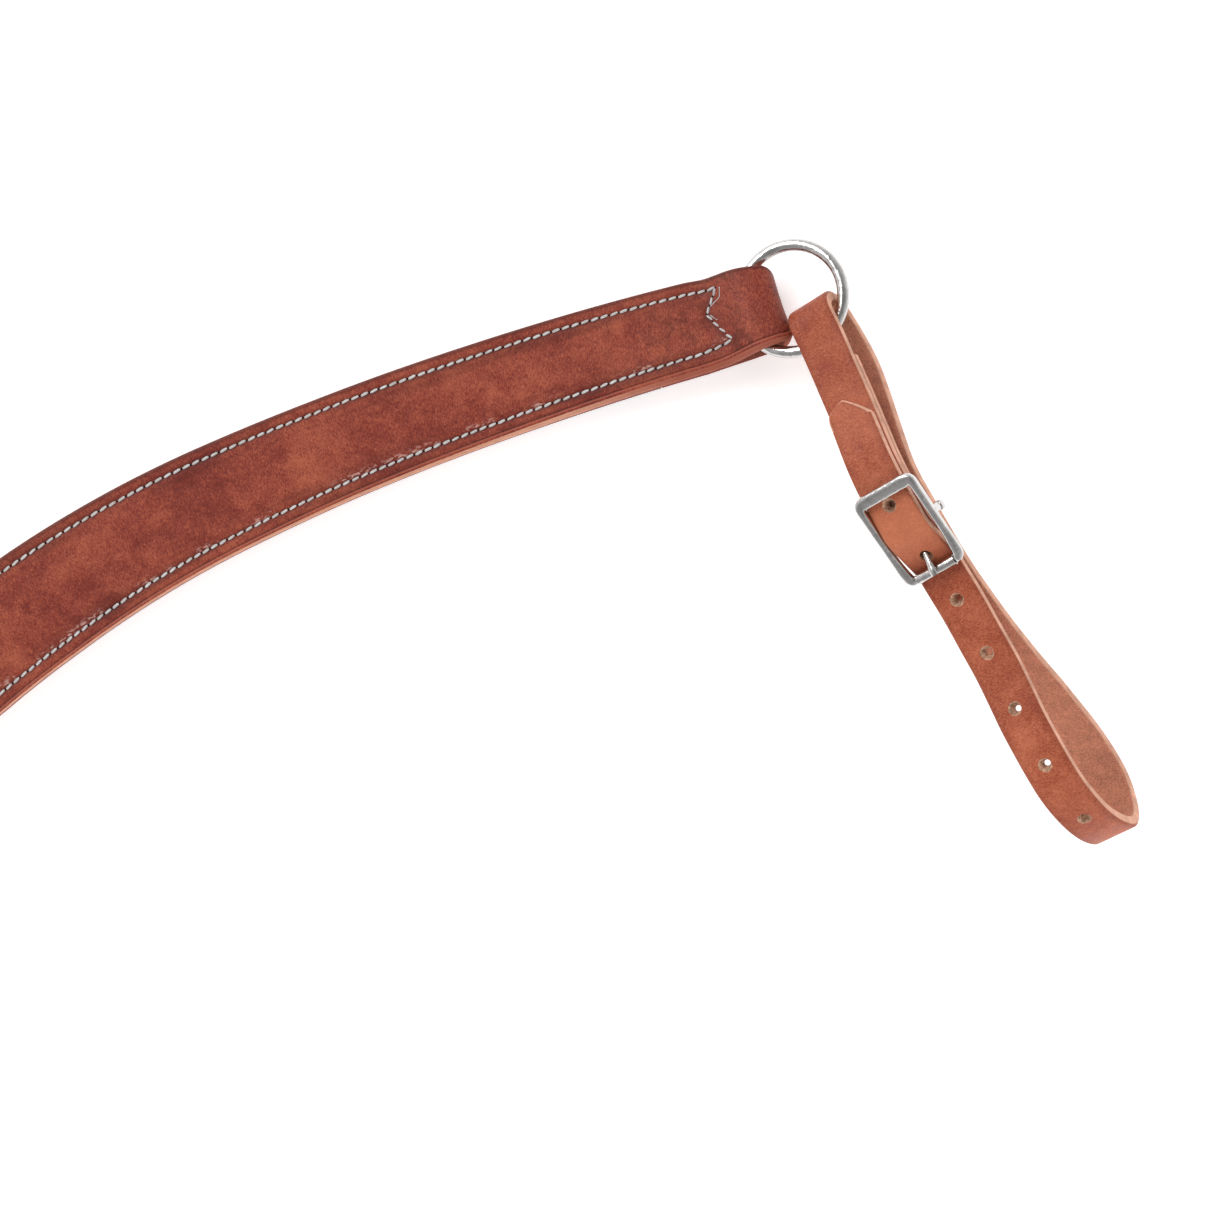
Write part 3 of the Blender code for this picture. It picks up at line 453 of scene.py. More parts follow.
class Look(Nodes):
    """A surface material being written, in the piece's own coordinates."""

    def __init__(self, name, specular=0.5):
        self.material = bpy.data.materials.new(name)
        self.material.use_nodes = True
        super().__init__(self.material.node_tree)
        self.shader = self.tree.nodes["Principled BSDF"]
        self.shader.inputs["Specular IOR Level"].default_value = specular
        self.where = self.add("ShaderNodeTexCoord").outputs["Object"]

    def finish(self, **inputs):
        """The material, with its shader's inputs set."""
        for key, value in inputs.items():
            self.set(self.shader.inputs[key.replace("_", " ")], value)
        return self.material

    def maths(self, operation, first, second=0.0, clamp=False):
        """One operation on numbers."""
        return self.add("ShaderNodeMath", {0: first, 1: second}, operation=operation,
                        use_clamp=clamp).outputs[0]

    def band(self, value, middle, reach):
        """1 at the middle, falling to 0 at a distance."""
        away = self.maths("ABSOLUTE", self.maths("SUBTRACT", value, middle))
        return self.fit(away, 0.0, reach, 1.0, 0.0)

    def noise(self, scale, detail=4.0, roughness=0.55, distortion=0.0, where=None):
        """Cloudy noise of about 0.5, with a scale in cells for each unit."""
        return self.add("ShaderNodeTexNoise", {
            "Vector": where or self.where, "Scale": scale, "Detail": detail,
            "Roughness": roughness, "Distortion": distortion}).outputs["Fac"]

    def mix(self, factor, first, second):
        """The first colour, changing to the second one as the factor goes to 1."""
        return self.add("ShaderNodeMix", {0: factor, 6: first, 7: second},
                        data_type="RGBA").outputs[2]

    def over(self, below, colour, *factors):
        """A colour laid over another one, as thick as the product of the factors."""
        amount = factors[0]
        for factor in factors[1:]:
            amount = self.maths("MULTIPLY", amount, factor)
        return self.mix(amount, below, (*colour, 1.0))

    def bump(self, height, strength, distance, normal=None):
        """Normal of a surface raised by the height, on top of another normal."""
        inputs = {"Height": height, "Strength": strength, "Distance": distance}
        if normal:
            inputs["Normal"] = normal
        return self.add("ShaderNodeBump", inputs).outputs["Normal"]

    def uv(self, name):
        """The two values that a mesh carries under a name."""
        made = self.add("ShaderNodeSeparateXYZ",
                        {0: self.add("ShaderNodeUVMap", uv_map=name).outputs["UV"]})
        return made.outputs[0], made.outputs[1]

    def weighted(self, parts):
        """Sum of (value, weight) pairs."""
        total = None
        for value, weight in parts:
            part = self.maths("MULTIPLY", value, weight)
            total = self.maths("ADD", total, part) if total else part
        return total

    def stretched(self, along, across):
        """Coordinates that follow the strap, in metres, scaled differently each way."""
        run = self.add("ShaderNodeUVMap", uv_map="strap").outputs["UV"]
        return self.add("ShaderNodeMapping", {
            "Vector": run, "Scale": (along * MM, across * MM, 1.0)}).outputs["Vector"]


def srgb(red, green, blue):
    """Linear colour of 0 to 255 display values."""
    return tuple((channel / 255.0) ** 2.2 for channel in (red, green, blue))


def grey(level):
    """A grey of one level."""
    return (level, level, level)


def shade(colour, amount):
    """The colour made darker or lighter."""
    return tuple(min(channel * amount, 1.0) for channel in colour)


def sewn_grain(look, grain, shadow, light, inset, patch):
    """Grain face with what the sewing and wear leave on it: darker streaks beside the seam, soil
    near the outer fold, pulled grain, and the rubbed ridge and crease along the edges."""
    away, station = look.uv("seam")
    streaks = look.noise(1.0, 4.0, 0.6, 0.5, look.stretched(16.0, 210.0))
    grain = look.over(grain, shadow, look.fit(away, 1.0, 9.0, 1.0, 0.0),
                      look.fit(streaks, 0.42, 0.66, 0.03, 0.40))
    blots = look.noise(85.0, 5.0, 0.68, 1.2)
    grain = look.over(grain, shadow, look.fit(station, *SOILED_RUN),
                      look.fit(blots, 0.50, 0.66, 0.0, 0.50))
    grain = look.over(grain, shadow, look.fit(away, 0.5, 2.0, 1.0, 0.0),
                      look.fit(patch, 0.35, 0.7, 0.25, 0.55))
    stretches = look.noise(1.0, 2.0, 0.6, 0.4, look.stretched(60.0, 60.0))
    pulled = look.noise(1.0, 2.0, 0.6, 0.4, look.stretched(420.0, 900.0))
    grain = look.over(grain, srgb(205, 160, 150), look.uv("pull")[0],
                      look.fit(pulled, 0.50, 0.60, 0.0, 0.7), look.fit(stretches, 0.47, 0.56))
    grain = look.over(grain, light, look.band(inset, 0.65, 0.6), 0.55)
    grain = look.over(grain, shadow, look.band(inset, CREASE_GAP, 0.55),
                      look.fit(patch, 0.3, 0.6, 0.80, 0.55))
    return look.over(grain, shadow, look.fit(inset, FACE_SPAN - 2.2, FACE_SPAN - 1.1, 0.0, 0.55))


def leather(name, dark, base, light, flesh, edge, sewn=False):
    """Bridle leather: wavy mottled grain face, pale layered cut edge and a felted flesh side."""
    look = Look(name, 0.30)
    inset, face = look.uv("skin")
    cloud = look.noise(24.0, 5.0, 0.6, 0.5)
    patch = look.noise(130.0, 6.0, 0.66, 0.8)
    cells = look.noise(1.0, 3.0, 0.62, 0.9, look.stretched(2400.0, 850.0))
    nap = look.noise(1500.0, 4.0, 0.75)

    tone = look.weighted(((cloud, 0.30), (patch, 0.22), (cells, 0.48)))
    grain = look.tones(tone, (0.32, shade(dark, 0.85)), (0.43, dark), (0.50, base), (0.58, light),
                       (0.70, shade(light, 1.2)))
    shadow = shade(dark, 0.32)
    if sewn:
        grain = sewn_grain(look, grain, shadow, shade(light, 1.15), inset, patch)
    else:
        grain = look.over(grain, shadow, look.fit(inset, 0.6, 3.5, 0.18, 0.0))

    wide_nap = look.noise(230.0, 4.0, 0.6)
    felt = look.tones(look.weighted(((nap, 0.7), (wide_nap, 0.3))),
                      (0.34, shade(flesh, 0.55)), (0.5, flesh), (0.66, shade(flesh, 1.5)))
    layers = look.noise(1.0, 3.0, 0.6, 0.2, look.stretched(160.0, 3200.0))
    raw = look.tones(look.weighted(((layers, 0.6), (nap, 0.4))),
                     (0.36, shade(edge, 0.72)), (0.5, edge), (0.66, shade(edge, 1.25)))
    if sewn:
        handled = look.fit(look.uv("seam")[1], *HANDLED_RUN, 0.0, 0.8)
        raw = look.over(raw, shade(base, 1.12), handled)
        raw = look.over(raw, dark, look.uv("pull")[1], 0.75)
    else:
        # Painted highlight: a lighter band of grain along the plain straps, standing for the light
        # on the tug billet where it arches up in the buckle
        painted_highlight = look.band(look.uv("strap")[0], PAINTED_HIGHLIGHT_MIDDLE, PAINTED_HIGHLIGHT_REACH)
        grain = look.over(grain, srgb(216, 134, 98), painted_highlight, 0.42)

    on_edge = look.fit(face, 0.69, 0.79, 1.0, 0.0)
    on_flesh = look.fit(face, 0.04, 0.14, 1.0, 0.0)
    colour = look.mix(on_edge, grain, raw)
    colour = look.mix(on_flesh, colour, felt)

    polish = look.fit(patch, 0.3, 0.7, 0.42, 0.62)
    roughness = look.maths("ADD", polish, look.maths("MULTIPLY", on_edge, 0.30), True)
    relief = look.maths("ADD", cells, look.maths("MULTIPLY", nap, on_edge))
    fine = look.bump(relief, 0.4, 0.0004)
    wide = look.bump(look.maths("ADD", cloud, patch), 0.35, 0.0012, fine)
    return look.finish(Base_Color=colour, Roughness=roughness, Normal=wide)


def hole_leather(name, colour):
    """Compressed leather inside punched holes; given a near-black colour it is the painted shade of
    the awl holes.
    """
    look = Look(name, 0.2)
    tone = look.tones(look.noise(900.0, 3.0), (0.35, shade(colour, 0.5)),
                      (0.65, shade(colour, 1.4)))
    return look.finish(Base_Color=tone, Roughness=look.fit(look.noise(700.0), 0.3, 0.7, 0.75, 0.95))


def thread_look(name):
    """Waxed grey-white saddle thread with a hint of its twist."""
    look = Look(name, 0.3)
    twist = look.add("ShaderNodeTexWave", {
        "Vector": look.where, "Scale": 900.0, "Distortion": 6.0, "Detail": 2.0},
        bands_direction="DIAGONAL").outputs["Fac"]
    soil = look.noise(160.0, 4.0, 0.6)
    tone = look.tones(look.weighted(((twist, 0.35), (soil, 0.65))), (0.25, (0.34, 0.31, 0.29)),
                      (0.5, (0.54, 0.53, 0.52)), (0.75, (0.68, 0.68, 0.68)))
    return look.finish(Base_Color=tone, Roughness=look.fit(soil, 0.3, 0.7, 0.6, 0.8),
                       Normal=look.bump(twist, 0.4, 0.0002))


def steel_look(name, colour, roughness):
    """Polished stainless steel with light handling marks and a slightly uneven cast surface."""
    look = Look(name)
    haze = look.noise(60.0, 5.0, 0.65, 0.4)
    marks = look.noise(700.0, 4.0, 0.8, 1.5)
    tone = look.tones(look.weighted(((haze, 0.6), (marks, 0.4))),
                      (0.3, shade(colour, 0.82)), (0.55, colour), (0.8, shade(colour, 1.08)))
    shine = look.fit(look.maths("ADD", haze, look.maths("MULTIPLY", marks, 0.5)),
                     0.4, 1.1, roughness * 0.6, roughness * 1.7)
    cast = look.maths("ADD", look.noise(150.0, 2.0, 0.5, 0.6), look.maths("MULTIPLY", marks, 0.02))
    return look.finish(Base_Color=tone, Metallic=1.0, Roughness=shine,
                       Normal=look.bump(cast, 0.6, 0.0009))


looks = {
    "collar": leather("saddle_collar_leather", srgb(106, 40, 33), srgb(134, 60, 45),
                      srgb(162, 84, 62), srgb(150, 92, 74), srgb(200, 144, 120), sewn=True),
    "strap": leather("saddle_strap_leather", srgb(137, 62, 42), srgb(161, 83, 57),
                     srgb(181, 103, 75), srgb(186, 124, 100), srgb(206, 154, 130)),
    "lining": leather("saddle_lining_leather", srgb(84, 40, 38), srgb(106, 52, 46),
                      srgb(130, 72, 60), srgb(130, 84, 70), srgb(120, 70, 66)),
    "hole": hole_leather("punched_leather", srgb(186, 148, 124)),
    # Painted shade: near-black for the dark inside of the awl holes
    "awl": hole_leather("awl_hole", (0.004, 0.003, 0.003)),
    "thread": thread_look("waxed_thread"),
    "steel": steel_look("polished_stainless", (0.60, 0.585, 0.572), 0.14),
}


# ---- Pieces ---------------------------------------------------------------------------

right_pieces = []


def piece(name, shape, looks_used, body=None, nodes=(), slot=None, uvs=None, sharp=40.0):
    """One mesh, riding on its body and standing for its CAD nodes if the body is given."""
    vertices, faces = shape
    mesh = bpy.data.meshes.new(name)
    mesh.from_pydata([Vector(point) * MM for point in vertices], [], faces)
    for used in looks_used:
        mesh.materials.append(looks[used])
    work = bmesh.new()
    work.from_mesh(mesh)
    layers = {key: work.loops.layers.uv.new(key) for key in (uvs or {})}
    work.verts.ensure_lookup_table()
    for key, layer in layers.items():
        values = uvs[key]
        for item in work.faces:
            cut_end = len(item.verts) > 4 and key == "skin"
            for loop in item.loops:
                loop[layer].uv = (0.0, 0.5) if cut_end else values[loop.vert.index]
    bmesh.ops.recalc_face_normals(work, faces=work.faces)
    work.to_mesh(mesh)
    work.free()
    crisp(mesh, sharp)
    made = bpy.data.objects.new(name, mesh)
    bpy.context.collection.objects.link(made)
    if body:
        enrol(made, body, nodes, slot)
    return made


def steel_piece(name, shape, body, sharp=40.0):
    """A steel piece that stands for the CAD node of its own name."""
    piece(name, shape, ["steel"], body, [name], "steel", sharp=sharp)


def crisp(mesh, sharp):
    """Smooth shading, with edges sharper than the angle kept."""
    mesh.shade_smooth()
    mesh.set_sharp_from_angle(angle=math.radians(sharp))


def enrol(made, body, nodes, slot):
    """Attach a finished piece; right-hand ones wait until they are mirrored."""
    if made.name.startswith("right_"):
        right_pieces.append((made, body, nodes, slot))
    else:
        attach(made, body, nodes)


def attach(made, body, nodes):
    """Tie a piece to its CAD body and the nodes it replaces."""
    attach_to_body(made, body)
    if nodes:
        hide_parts(*nodes)


def mirrored(made, name):
    """The left-hand twin of a right-hand piece."""
    mesh = made.data.copy()
    mesh.name = name
    work = bmesh.new()
    work.from_mesh(mesh)
    for vertex in work.verts:
        vertex.co.x = -vertex.co.x
    bmesh.ops.reverse_faces(work, faces=work.faces)
    work.to_mesh(mesh)
    work.free()
    twin = bpy.data.objects.new(name, mesh)
    bpy.context.collection.objects.link(twin)
    return twin


def combine(target, other, operation):
    """Join or cut a piece with another one, which is used up."""
    modifier = target.modifiers.new(operation.lower(), "BOOLEAN")
    modifier.operation = operation
    modifier.solver = "EXACT"
    modifier.material_mode = "TRANSFER"
    modifier.object = other
    bpy.context.view_layer.update()
    graph = bpy.context.evaluated_depsgraph_get()
    result = bpy.data.meshes.new_from_object(target.evaluated_get(graph))
    target.modifiers.clear()
    target.data = result
    bpy.data.objects.remove(other)


def cutter(shape, look="steel"):
    """A mesh for combine() to use up; its look covers the faces it leaves behind."""
    return piece("cutter", shape, [look])


# ---- Straps ---------------------------------------------------------------------------

def section(half, thick, marks, middle_columns, lower_rim=None):
    """Once round a strap's cross-section: (across, height, inset from the edge, face).
    face is 1 on the grain, 0 on the flesh side and between on the cut edge. With a lower rim
    the cut edge of the lower side is slanted that far into the grain face, and the inset runs
    from the grain's lower edge to FACE_SPAN at the upper one."""
    rim = min(EDGE_RIM, thick * 0.4, half * 0.5)
    low_wide = lower_rim or rim

    def insets(wide):
        """The marks, closed up on a narrow strap."""
        scale = min(1.0, (half - wide) / (marks[-1] + 1.0))
        return [wide + mark * scale for mark in marks]

    def edge(wide, turned_early):
        """One cut edge from the grain side's rim round to the flesh side."""
        points = []
        steps = 4
        for index in range(steps + 1):
            turn = math.pi / 2 * index / steps
            face = 1.0 - 0.3 * index / steps
            if turned_early and index:
                face = min(face, 0.62)
            points.append((half - wide + wide * math.sin(turn),
                           thick / 2 - rim + rim * math.cos(turn),
                           wide * (1.0 - math.sin(turn)), face))
        foot = rim * 0.6
        for index in range(steps + 1):
            turn = math.pi / 2 * index / steps
            points.append((half - foot + foot * math.cos(turn),
                           -thick / 2 + foot - foot * math.sin(turn),
                           foot * (1.0 - math.cos(turn)), 0.3 - 0.3 * index / steps))
        return points

    upper = [(half - inset, inset) for inset in insets(rim)]
    lower = [(inset - half, inset) for inset in insets(low_wide)]
    first, last = upper[-1][0], lower[-1][0]
    columns = [first + (last - first) * index / middle_columns
               for index in range(1, middle_columns)]
    row = upper + [(across, half - abs(across)) for across in columns] + lower[::-1]
    top = [(across, thick / 2, inset, 1.0) for across, inset in reversed(row)]
    bottom = [(across, -thick / 2, inset, 0.0) for across, inset in row]
    far = [(-across, height, inset, face)
           for across, height, inset, face in reversed(edge(low_wide, lower_rim))]
    result = top + edge(rim, False) + bottom + far
    if not lower_rim:
        return result
    return [(across, height, FACE_SPAN - inset if across > 0.0 else inset - lower_rim, face)
            for across, height, inset, face in result]


def strap_rings(path, halves, thicks, place, relief, marks, middle_columns, flip=False,
                lower_rims=None, tip_length=0.0):
    """Rings of points and their strap and skin coordinates for a dense strap. Along a cut tip
    the bevelled outline shows raw leather."""
    rings, along, skins = [], [], []
    run = 0.0
    for index, ((p, q), (np, nq)) in enumerate(zip(path, plane_normals(path))):
        if index:
            run += math.dist(path[index - 1], (p, q))
        ring = []
        lower_rim = lower_rims[index] if lower_rims else None
        for across, height, inset, face in section(halves[index], thicks[index], marks,
                                                   middle_columns, lower_rim):
            if flip:
                height = -height
            if face > 0.97 and relief:
                height += relief(run, p, across, inset)
            ring.append(place(p + np * height, q + nq * height, across))
            raw = index < 2 or inset < EDGE_RIM
            along.append((run, across))
            skins.append((inset, min(face, 0.62) if raw and run < tip_length else face))
        rings.append(ring)
    return rings, along, skins


def undulation(seed, size, wave):
    """A gentle, repeatable unevenness of the grain face."""
    def height(run, across):
        return size * noise.noise(Vector((run / wave, across / wave, seed)))
    return height


def plain_relief(seed, size, wave):
    """The relief of a strap without a seam, level at its edges."""
    uneven = undulation(seed, size, wave)

    def relief(run, station, across, inset):
        return uneven(run, across) * smooth(inset / 3.0)
    return relief


# ---- Shoulder -------------------------------------------------------------------------

def centre_line(s):
    """Point and heading of the shoulder's centre line at s from its inner fold."""
    heading = INNER_HEADING
    x = SHOULDER_START * math.cos(heading)
    y = CENTRE_Y + SHOULDER_START * math.sin(heading)
    for index, (length, radius) in enumerate(SHOULDER_ARCS):
        last = index == len(SHOULDER_ARCS) - 1
        run = s if last else min(s, length)
        turned_to = heading - run / radius
        x += radius * (math.sin(heading) - math.sin(turned_to))
        y += radius * (math.cos(turned_to) - math.cos(heading))
        heading = turned_to
        s -= run
        if s <= 0.0:
            break
    return x, y, heading


def shoulder_axes(s):
    """Point on the table plane, along, across and upward directions at s."""
    x, y, heading = centre_line(s)
    part = smooth((s - (SHOULDER_LENGTH - LIFT_RUN)) / LIFT_RUN)
    roll = ROLL * part
    along = Vector((math.cos(heading), math.sin(heading), 0.0))
    level = Vector((-math.sin(heading), math.cos(heading), 0.0))
    across = level * math.cos(roll) - UP * math.sin(roll)
    upward = level * math.sin(roll) + UP * math.cos(roll)
    return Vector((x, y, LIFT * part)), along, across, upward


def on_shoulder(s, h, u):
    """Point of the shoulder; the outer fold is slightly askew and its lower corner is longer."""
    point, along, across, upward = shoulder_axes(s)
    part = smooth((s - (SHOULDER_LENGTH - SKEW_RUN)) / SKEW_EASE)
    longer = FOLD_SKEW[1] * u * u - FOLD_SKEW[0] * u
    return point + across * u + upward * h + along * (part * longer)


def shoulder_half(s):
    """Half width, with round corners at both folds."""
    s = min(max(s, 0.0), SHOULDER_LENGTH)
    inset = max(FOLD_CORNER + PLY / 2 - min(s, SHOULDER_LENGTH - s), 0.0)
    corner = FOLD_CORNER - math.sqrt(FOLD_CORNER ** 2 - min(inset, FOLD_CORNER) ** 2)
    return read_table(SHOULDER_HALF_WIDTHS, SHOULDER_LENGTH - s) - corner


def shoulder_front_path():
    """Middle of the front ply from one skived tab, round both eyes, to the other tab."""
    run_height = SKIVED + GAP + PLY / 2
    tab_height = SKIVED / 2
    inner = (CENTRE_EYE + PLY, CENTRE_WIRE_HEIGHT)
    outer = (SHOULDER_LENGTH - END_EYE - PLY, SKIVED + END_EYE)
    thin, thick = SKIVED / 2, PLY / 2
    rise_start, rise_end = CENTRE_EYE_RISE
    path = [(s, tab_height) for s in stations(FOLD_TAB, inner[0] + FINE, FINE)]
    path += arc(inner, CENTRE_EYE + thin, CENTRE_EYE + thick, 270.0, 90.0)
    path += ramp(rise_start, rise_end, CENTRE_WIRE_HEIGHT + CENTRE_EYE + thick, run_height, 13)
    outer_rise = SHOULDER_LENGTH - RISE_START
    path += [(s, run_height) for s in stations(rise_end + FINE, outer_rise - FINE, FINE)]
    path += ramp(outer_rise, SHOULDER_LENGTH - RISE_END, run_height,
                 outer[1] + END_EYE + thick, 13)
    path += arc(outer, END_EYE + thick, END_EYE + thin, 90.0, -90.0)
    path += [(s, tab_height) for s in stations(outer[0] - FINE, SHOULDER_LENGTH - FOLD_TAB, FINE)]
    return path


def fold_thickness(path):
    """Full ply on the face, skived on the tabs, changing evenly round each eye."""
    result = []
    low, high = SKIVED / 2, SKIVED + GAP + PLY / 2
    for s, h in path:
        near_end = s < 12.0 or s > SHOULDER_LENGTH - 12.0
        part = smooth((h - low) / (2.2 * high - low)) if near_end else float(h > low + 1.0)
        result.append(SKIVED + (PLY - SKIVED) * part)
    return result


def seam_runs():
    """The stitch line's straight and curved runs as lists of (s, u), corner to corner."""
    far_apex, far_corner = SHOULDER_LENGTH - FISHTAIL_APEX, SHOULDER_LENGTH - FISHTAIL_CORNER
    near_apex, near_corner = FISHTAIL_APEX + INNER_END_SHIFT, FISHTAIL_CORNER + INNER_END_SHIFT
    run = stations(near_corner, far_corner, 2.0)
    top = [(s, shoulder_half(s) - SEAM_INSET) for s in run]
    bottom = [(s, read_table(LOWER_SEAM_INSETS, s) - shoulder_half(s)) for s in reversed(run)]
    apex = (far_apex, APEX_RISE)
    return [top, [top[-1], apex], [apex, bottom[0]], bottom,
            [bottom[-1], (near_apex, 0.0)], [(near_apex, 0.0), top[0]]]


def grain_height(path):
    """Height of the front ply's face as a table over the run and the rise to the outer eye."""
    return [(s, h) for s, h in offset(path, PLY / 2) if FACE_START < s < FACE_END and h > SKIVED]


def seam_finder(runs):
    """Distance from a point on the shoulder to the stitch line."""
    points = [point for run in runs for point in resample(run, 0.5)]
    tree = kdtree.KDTree(len(points))
    for index, (s, u) in enumerate(points):
        tree.insert(Vector((s, u, 0.0)), index)
    tree.balance()

    def away(s, u):
        return tree.find(Vector((s, u, 0.0)))[2]
    return away


def stitch(middle, slant, length, radius, height, tilt):
    """One stitch: thread that dips into the leather at both ends."""
    rows, sides = 7, 8
    along = (math.cos(slant), math.sin(slant))
    rings = []
    for row in range(rows):
        t = -1.0 + 2.0 * row / (rows - 1)
        size = radius * max(1.0 - t ** 4, 0.04) ** 0.5
        reach = t * length * STITCH_SHARE / 2
        s, u = middle[0] + along[0] * reach, middle[1] + along[1] * reach
        rise = 0.24 - 0.36 * t ** 4
        ring = []
        for side in range(sides):
            angle = 2.0 * math.pi * side / sides
            sideways = size * math.cos(angle)
            lift = tilt * (rise + 0.85 * size * math.sin(angle))
            ring.append(on_shoulder(s - along[1] * sideways, height(s, u) + lift,
                                    u + along[0] * sideways))
        rings.append(ring)
    return skin(rings, False)


def stitches(runs, height, tilt, seed):
    """Slanted saddle stitches and the awl holes between them, on one face of the shoulder.
    height(s, u) is the leather's face there and tilt is 1 for the front and -1 for the back."""
    threads, holes = [], []
    draw = random.Random(seed)
    for run in runs:
        marks = resample(run, STITCH_PITCH)
        for start, end in zip(marks, marks[1:]):
            turn = math.atan2(end[1] - start[1], end[0] - start[0])
            slant = turn + STITCH_SLANT + draw.uniform(-0.04, 0.04)
            middle = [(a + b) / 2 + draw.uniform(-0.07, 0.07) for a, b in zip(start, end)]
            radius = STITCH_RADIUS * draw.uniform(0.92, 1.08)
            threads.append(stitch(middle, slant, math.dist(start, end), radius, height, tilt))
            holes.append(awl_hole(start, turn - 0.6, height, tilt))
    return joined(*threads), joined(*holes)


def awl_hole(centre, turn, height, tilt):
    """A flat lens in the leather's face that carries the near-black painted shade of an awl hole."""
    sides = 10
    rings = []
    for across, lift in ((0.15, -0.3), (0.9, -0.12), (1.0, 0.03), (0.7, 0.10), (0.1, 0.13)):
        ring = []
        for side in range(sides):
            angle = 2.0 * math.pi * side / sides
            x, y = 0.56 * across * math.cos(angle), 0.37 * across * math.sin(angle)
            s = centre[0] + x * math.cos(turn) - y * math.sin(turn)
            u = centre[1] + x * math.sin(turn) + y * math.cos(turn)
            ring.append(on_shoulder(s, height(s, u) + tilt * lift, u))
        rings.append(ring)
    return skin(rings, False)


def loose_thread(points, height, radius):
    """A thin stray thread that lies on the shoulder's face."""
    route = resample(points, 0.8)
    centres = [on_shoulder(s, height(s, u) + 0.12 + 0.1 * math.sin(index * 1.7), u)
               for index, (s, u) in enumerate(route)]
    return sweep(centres, UP, (radius, radius), 8)


def build_shoulder():
    """Both plies of the right shoulder and its stitching."""
    path = shoulder_front_path()
    runs = seam_runs()
    away = seam_finder(runs)
    uneven = undulation(3.0, 0.20, 17.0)

    def relief(run, s, across, inset):
        """Uneven grain with the seam's groove and the pressed crease along the lower edge."""
        groove = SEAM_GROOVE * math.exp(-(away(s, across) / 0.9) ** 2)
        crease = CREASE_DEPTH * math.exp(-((inset - CREASE_GAP) / 0.32) ** 2)
        return uneven(run, across) * smooth(min(inset, FACE_SPAN - inset) / 3.0) - groove - crease

    marks = (0.0, 0.45, 0.9, 1.15, 1.35, 1.6, 2.0, 2.7, 3.4, 4.1, 4.8, 5.5, 6.2, 7.0)
    halves = [shoulder_half(s) for s, h in path]
    lower_rims = [read_table(LOWER_RIM, s) for s, h in path]
    rings, along, skins = strap_rings(path, halves, fold_thickness(path), on_shoulder, relief,
                                      marks, 16, lower_rims=lower_rims)
    seams, pulls = [], []
    width = len(rings[0])
    for index, (run, across) in enumerate(along):
        s, h = path[index // width]
        sewn = h > SKIVED and FACE_START < s < FACE_END
        seams.append((away(s, across) if sewn else 20.0, s))
        inward = across + shoulder_half(s) - read_table(LOWER_SEAM_INSETS, s)
        pulls.append((math.exp(-((inward - 1.5) / 0.9) ** 2) if sewn and s < runs[0][-1][0] else 0.0,
                      float(h <= SKIVED + GAP)))
    piece("right_shoulder_front", skin(rings, False), ["collar"], "right_shoulder",
          ["right_shoulder_front"], "collar_leather",
          uvs={"strap": along, "skin": skins, "seam": seams, "pull": pulls})

    ends = FOLD_TAB + GAP
    lining = [(s, SKIVED / 2) for s in stations(ends, SHOULDER_LENGTH - ends, FINE)]
    halves = [shoulder_half(s) for s, h in lining]
    rings, along, skins = strap_rings(lining, halves, [SKIVED] * len(lining), on_shoulder, None,
                                      marks, 12, flip=True)
    piece("right_shoulder_lining", skin(rings, False), ["lining"], "right_shoulder",
          ["right_shoulder_lining"], "lining_leather", uvs={"strap": along, "skin": skins})

    build_stitching(path, runs)


def build_stitching(path, runs):
    """Stitches and awl holes on both faces of the shoulder, and two stray threads."""
    face = grain_height(path)

    def front(s, u):
        return read_table(face, s) - 0.6 * SEAM_GROOVE

    def back(s, u):
        return 0.12

    threads, holes = stitches(runs, front, 1.0, 11)
    back_threads, back_holes = stitches(runs, back, -1.0, 12)
    piece("right_seam_thread", joined(threads, back_threads), ["thread"], "right_shoulder",
          ["right_seam_thread"], "seam_thread", sharp=80.0)
    piece("right_awl_holes", joined(holes, back_holes), ["awl"], "right_shoulder", [],
          "collar_leather", sharp=80.0)

    top = runs[0][-1]
    apex = runs[1][-1]
    strays = [
        [(top[0] + 1.4, top[1] - 0.4), (top[0] + 0.4, top[1] - 4.2), (apex[0] + 2.4, apex[1] + 2.6)],
        [(apex[0] + 1.4, apex[1] - 0.8), (apex[0] + 3.4, apex[1] - 3.6)],
    ]
    shape = joined(*[loose_thread(points, front, 0.17) for points in strays])
    made = piece("stray_thread", shape, ["thread"], sharp=80.0)
    attach(made, "right_shoulder", [])


# ---- Rings ----------------------------------------------------------------------------

def ring_shape(centre, normal, start, radius, wire):
    """A round welded ring; start is a direction in its plane."""
    other = normal.cross(start)
    around = 144
    turns = [2.0 * math.pi * step / around for step in range(around)]
    route = [centre + radius * (start * math.cos(t) + other * math.sin(t)) for t in turns]
    return sweep(route, normal, (wire, wire), 28, closed=True)


def end_ring_axes():
    """Centre, normal and outward direction of the right end ring."""
    point, along, _, upward = shoulder_axes(SHOULDER_LENGTH - END_RING_PIVOT)
    pivot = point + upward * (SKIVED + END_EYE)
    outward = along * math.cos(END_RING_TILT) + upward * math.sin(END_RING_TILT)
    normal = upward * math.cos(END_RING_TILT) - along * math.sin(END_RING_TILT)
    return pivot + outward * END_RING_OFFSET, normal, outward


# ---- Tug strap ------------------------------------------------------------------------

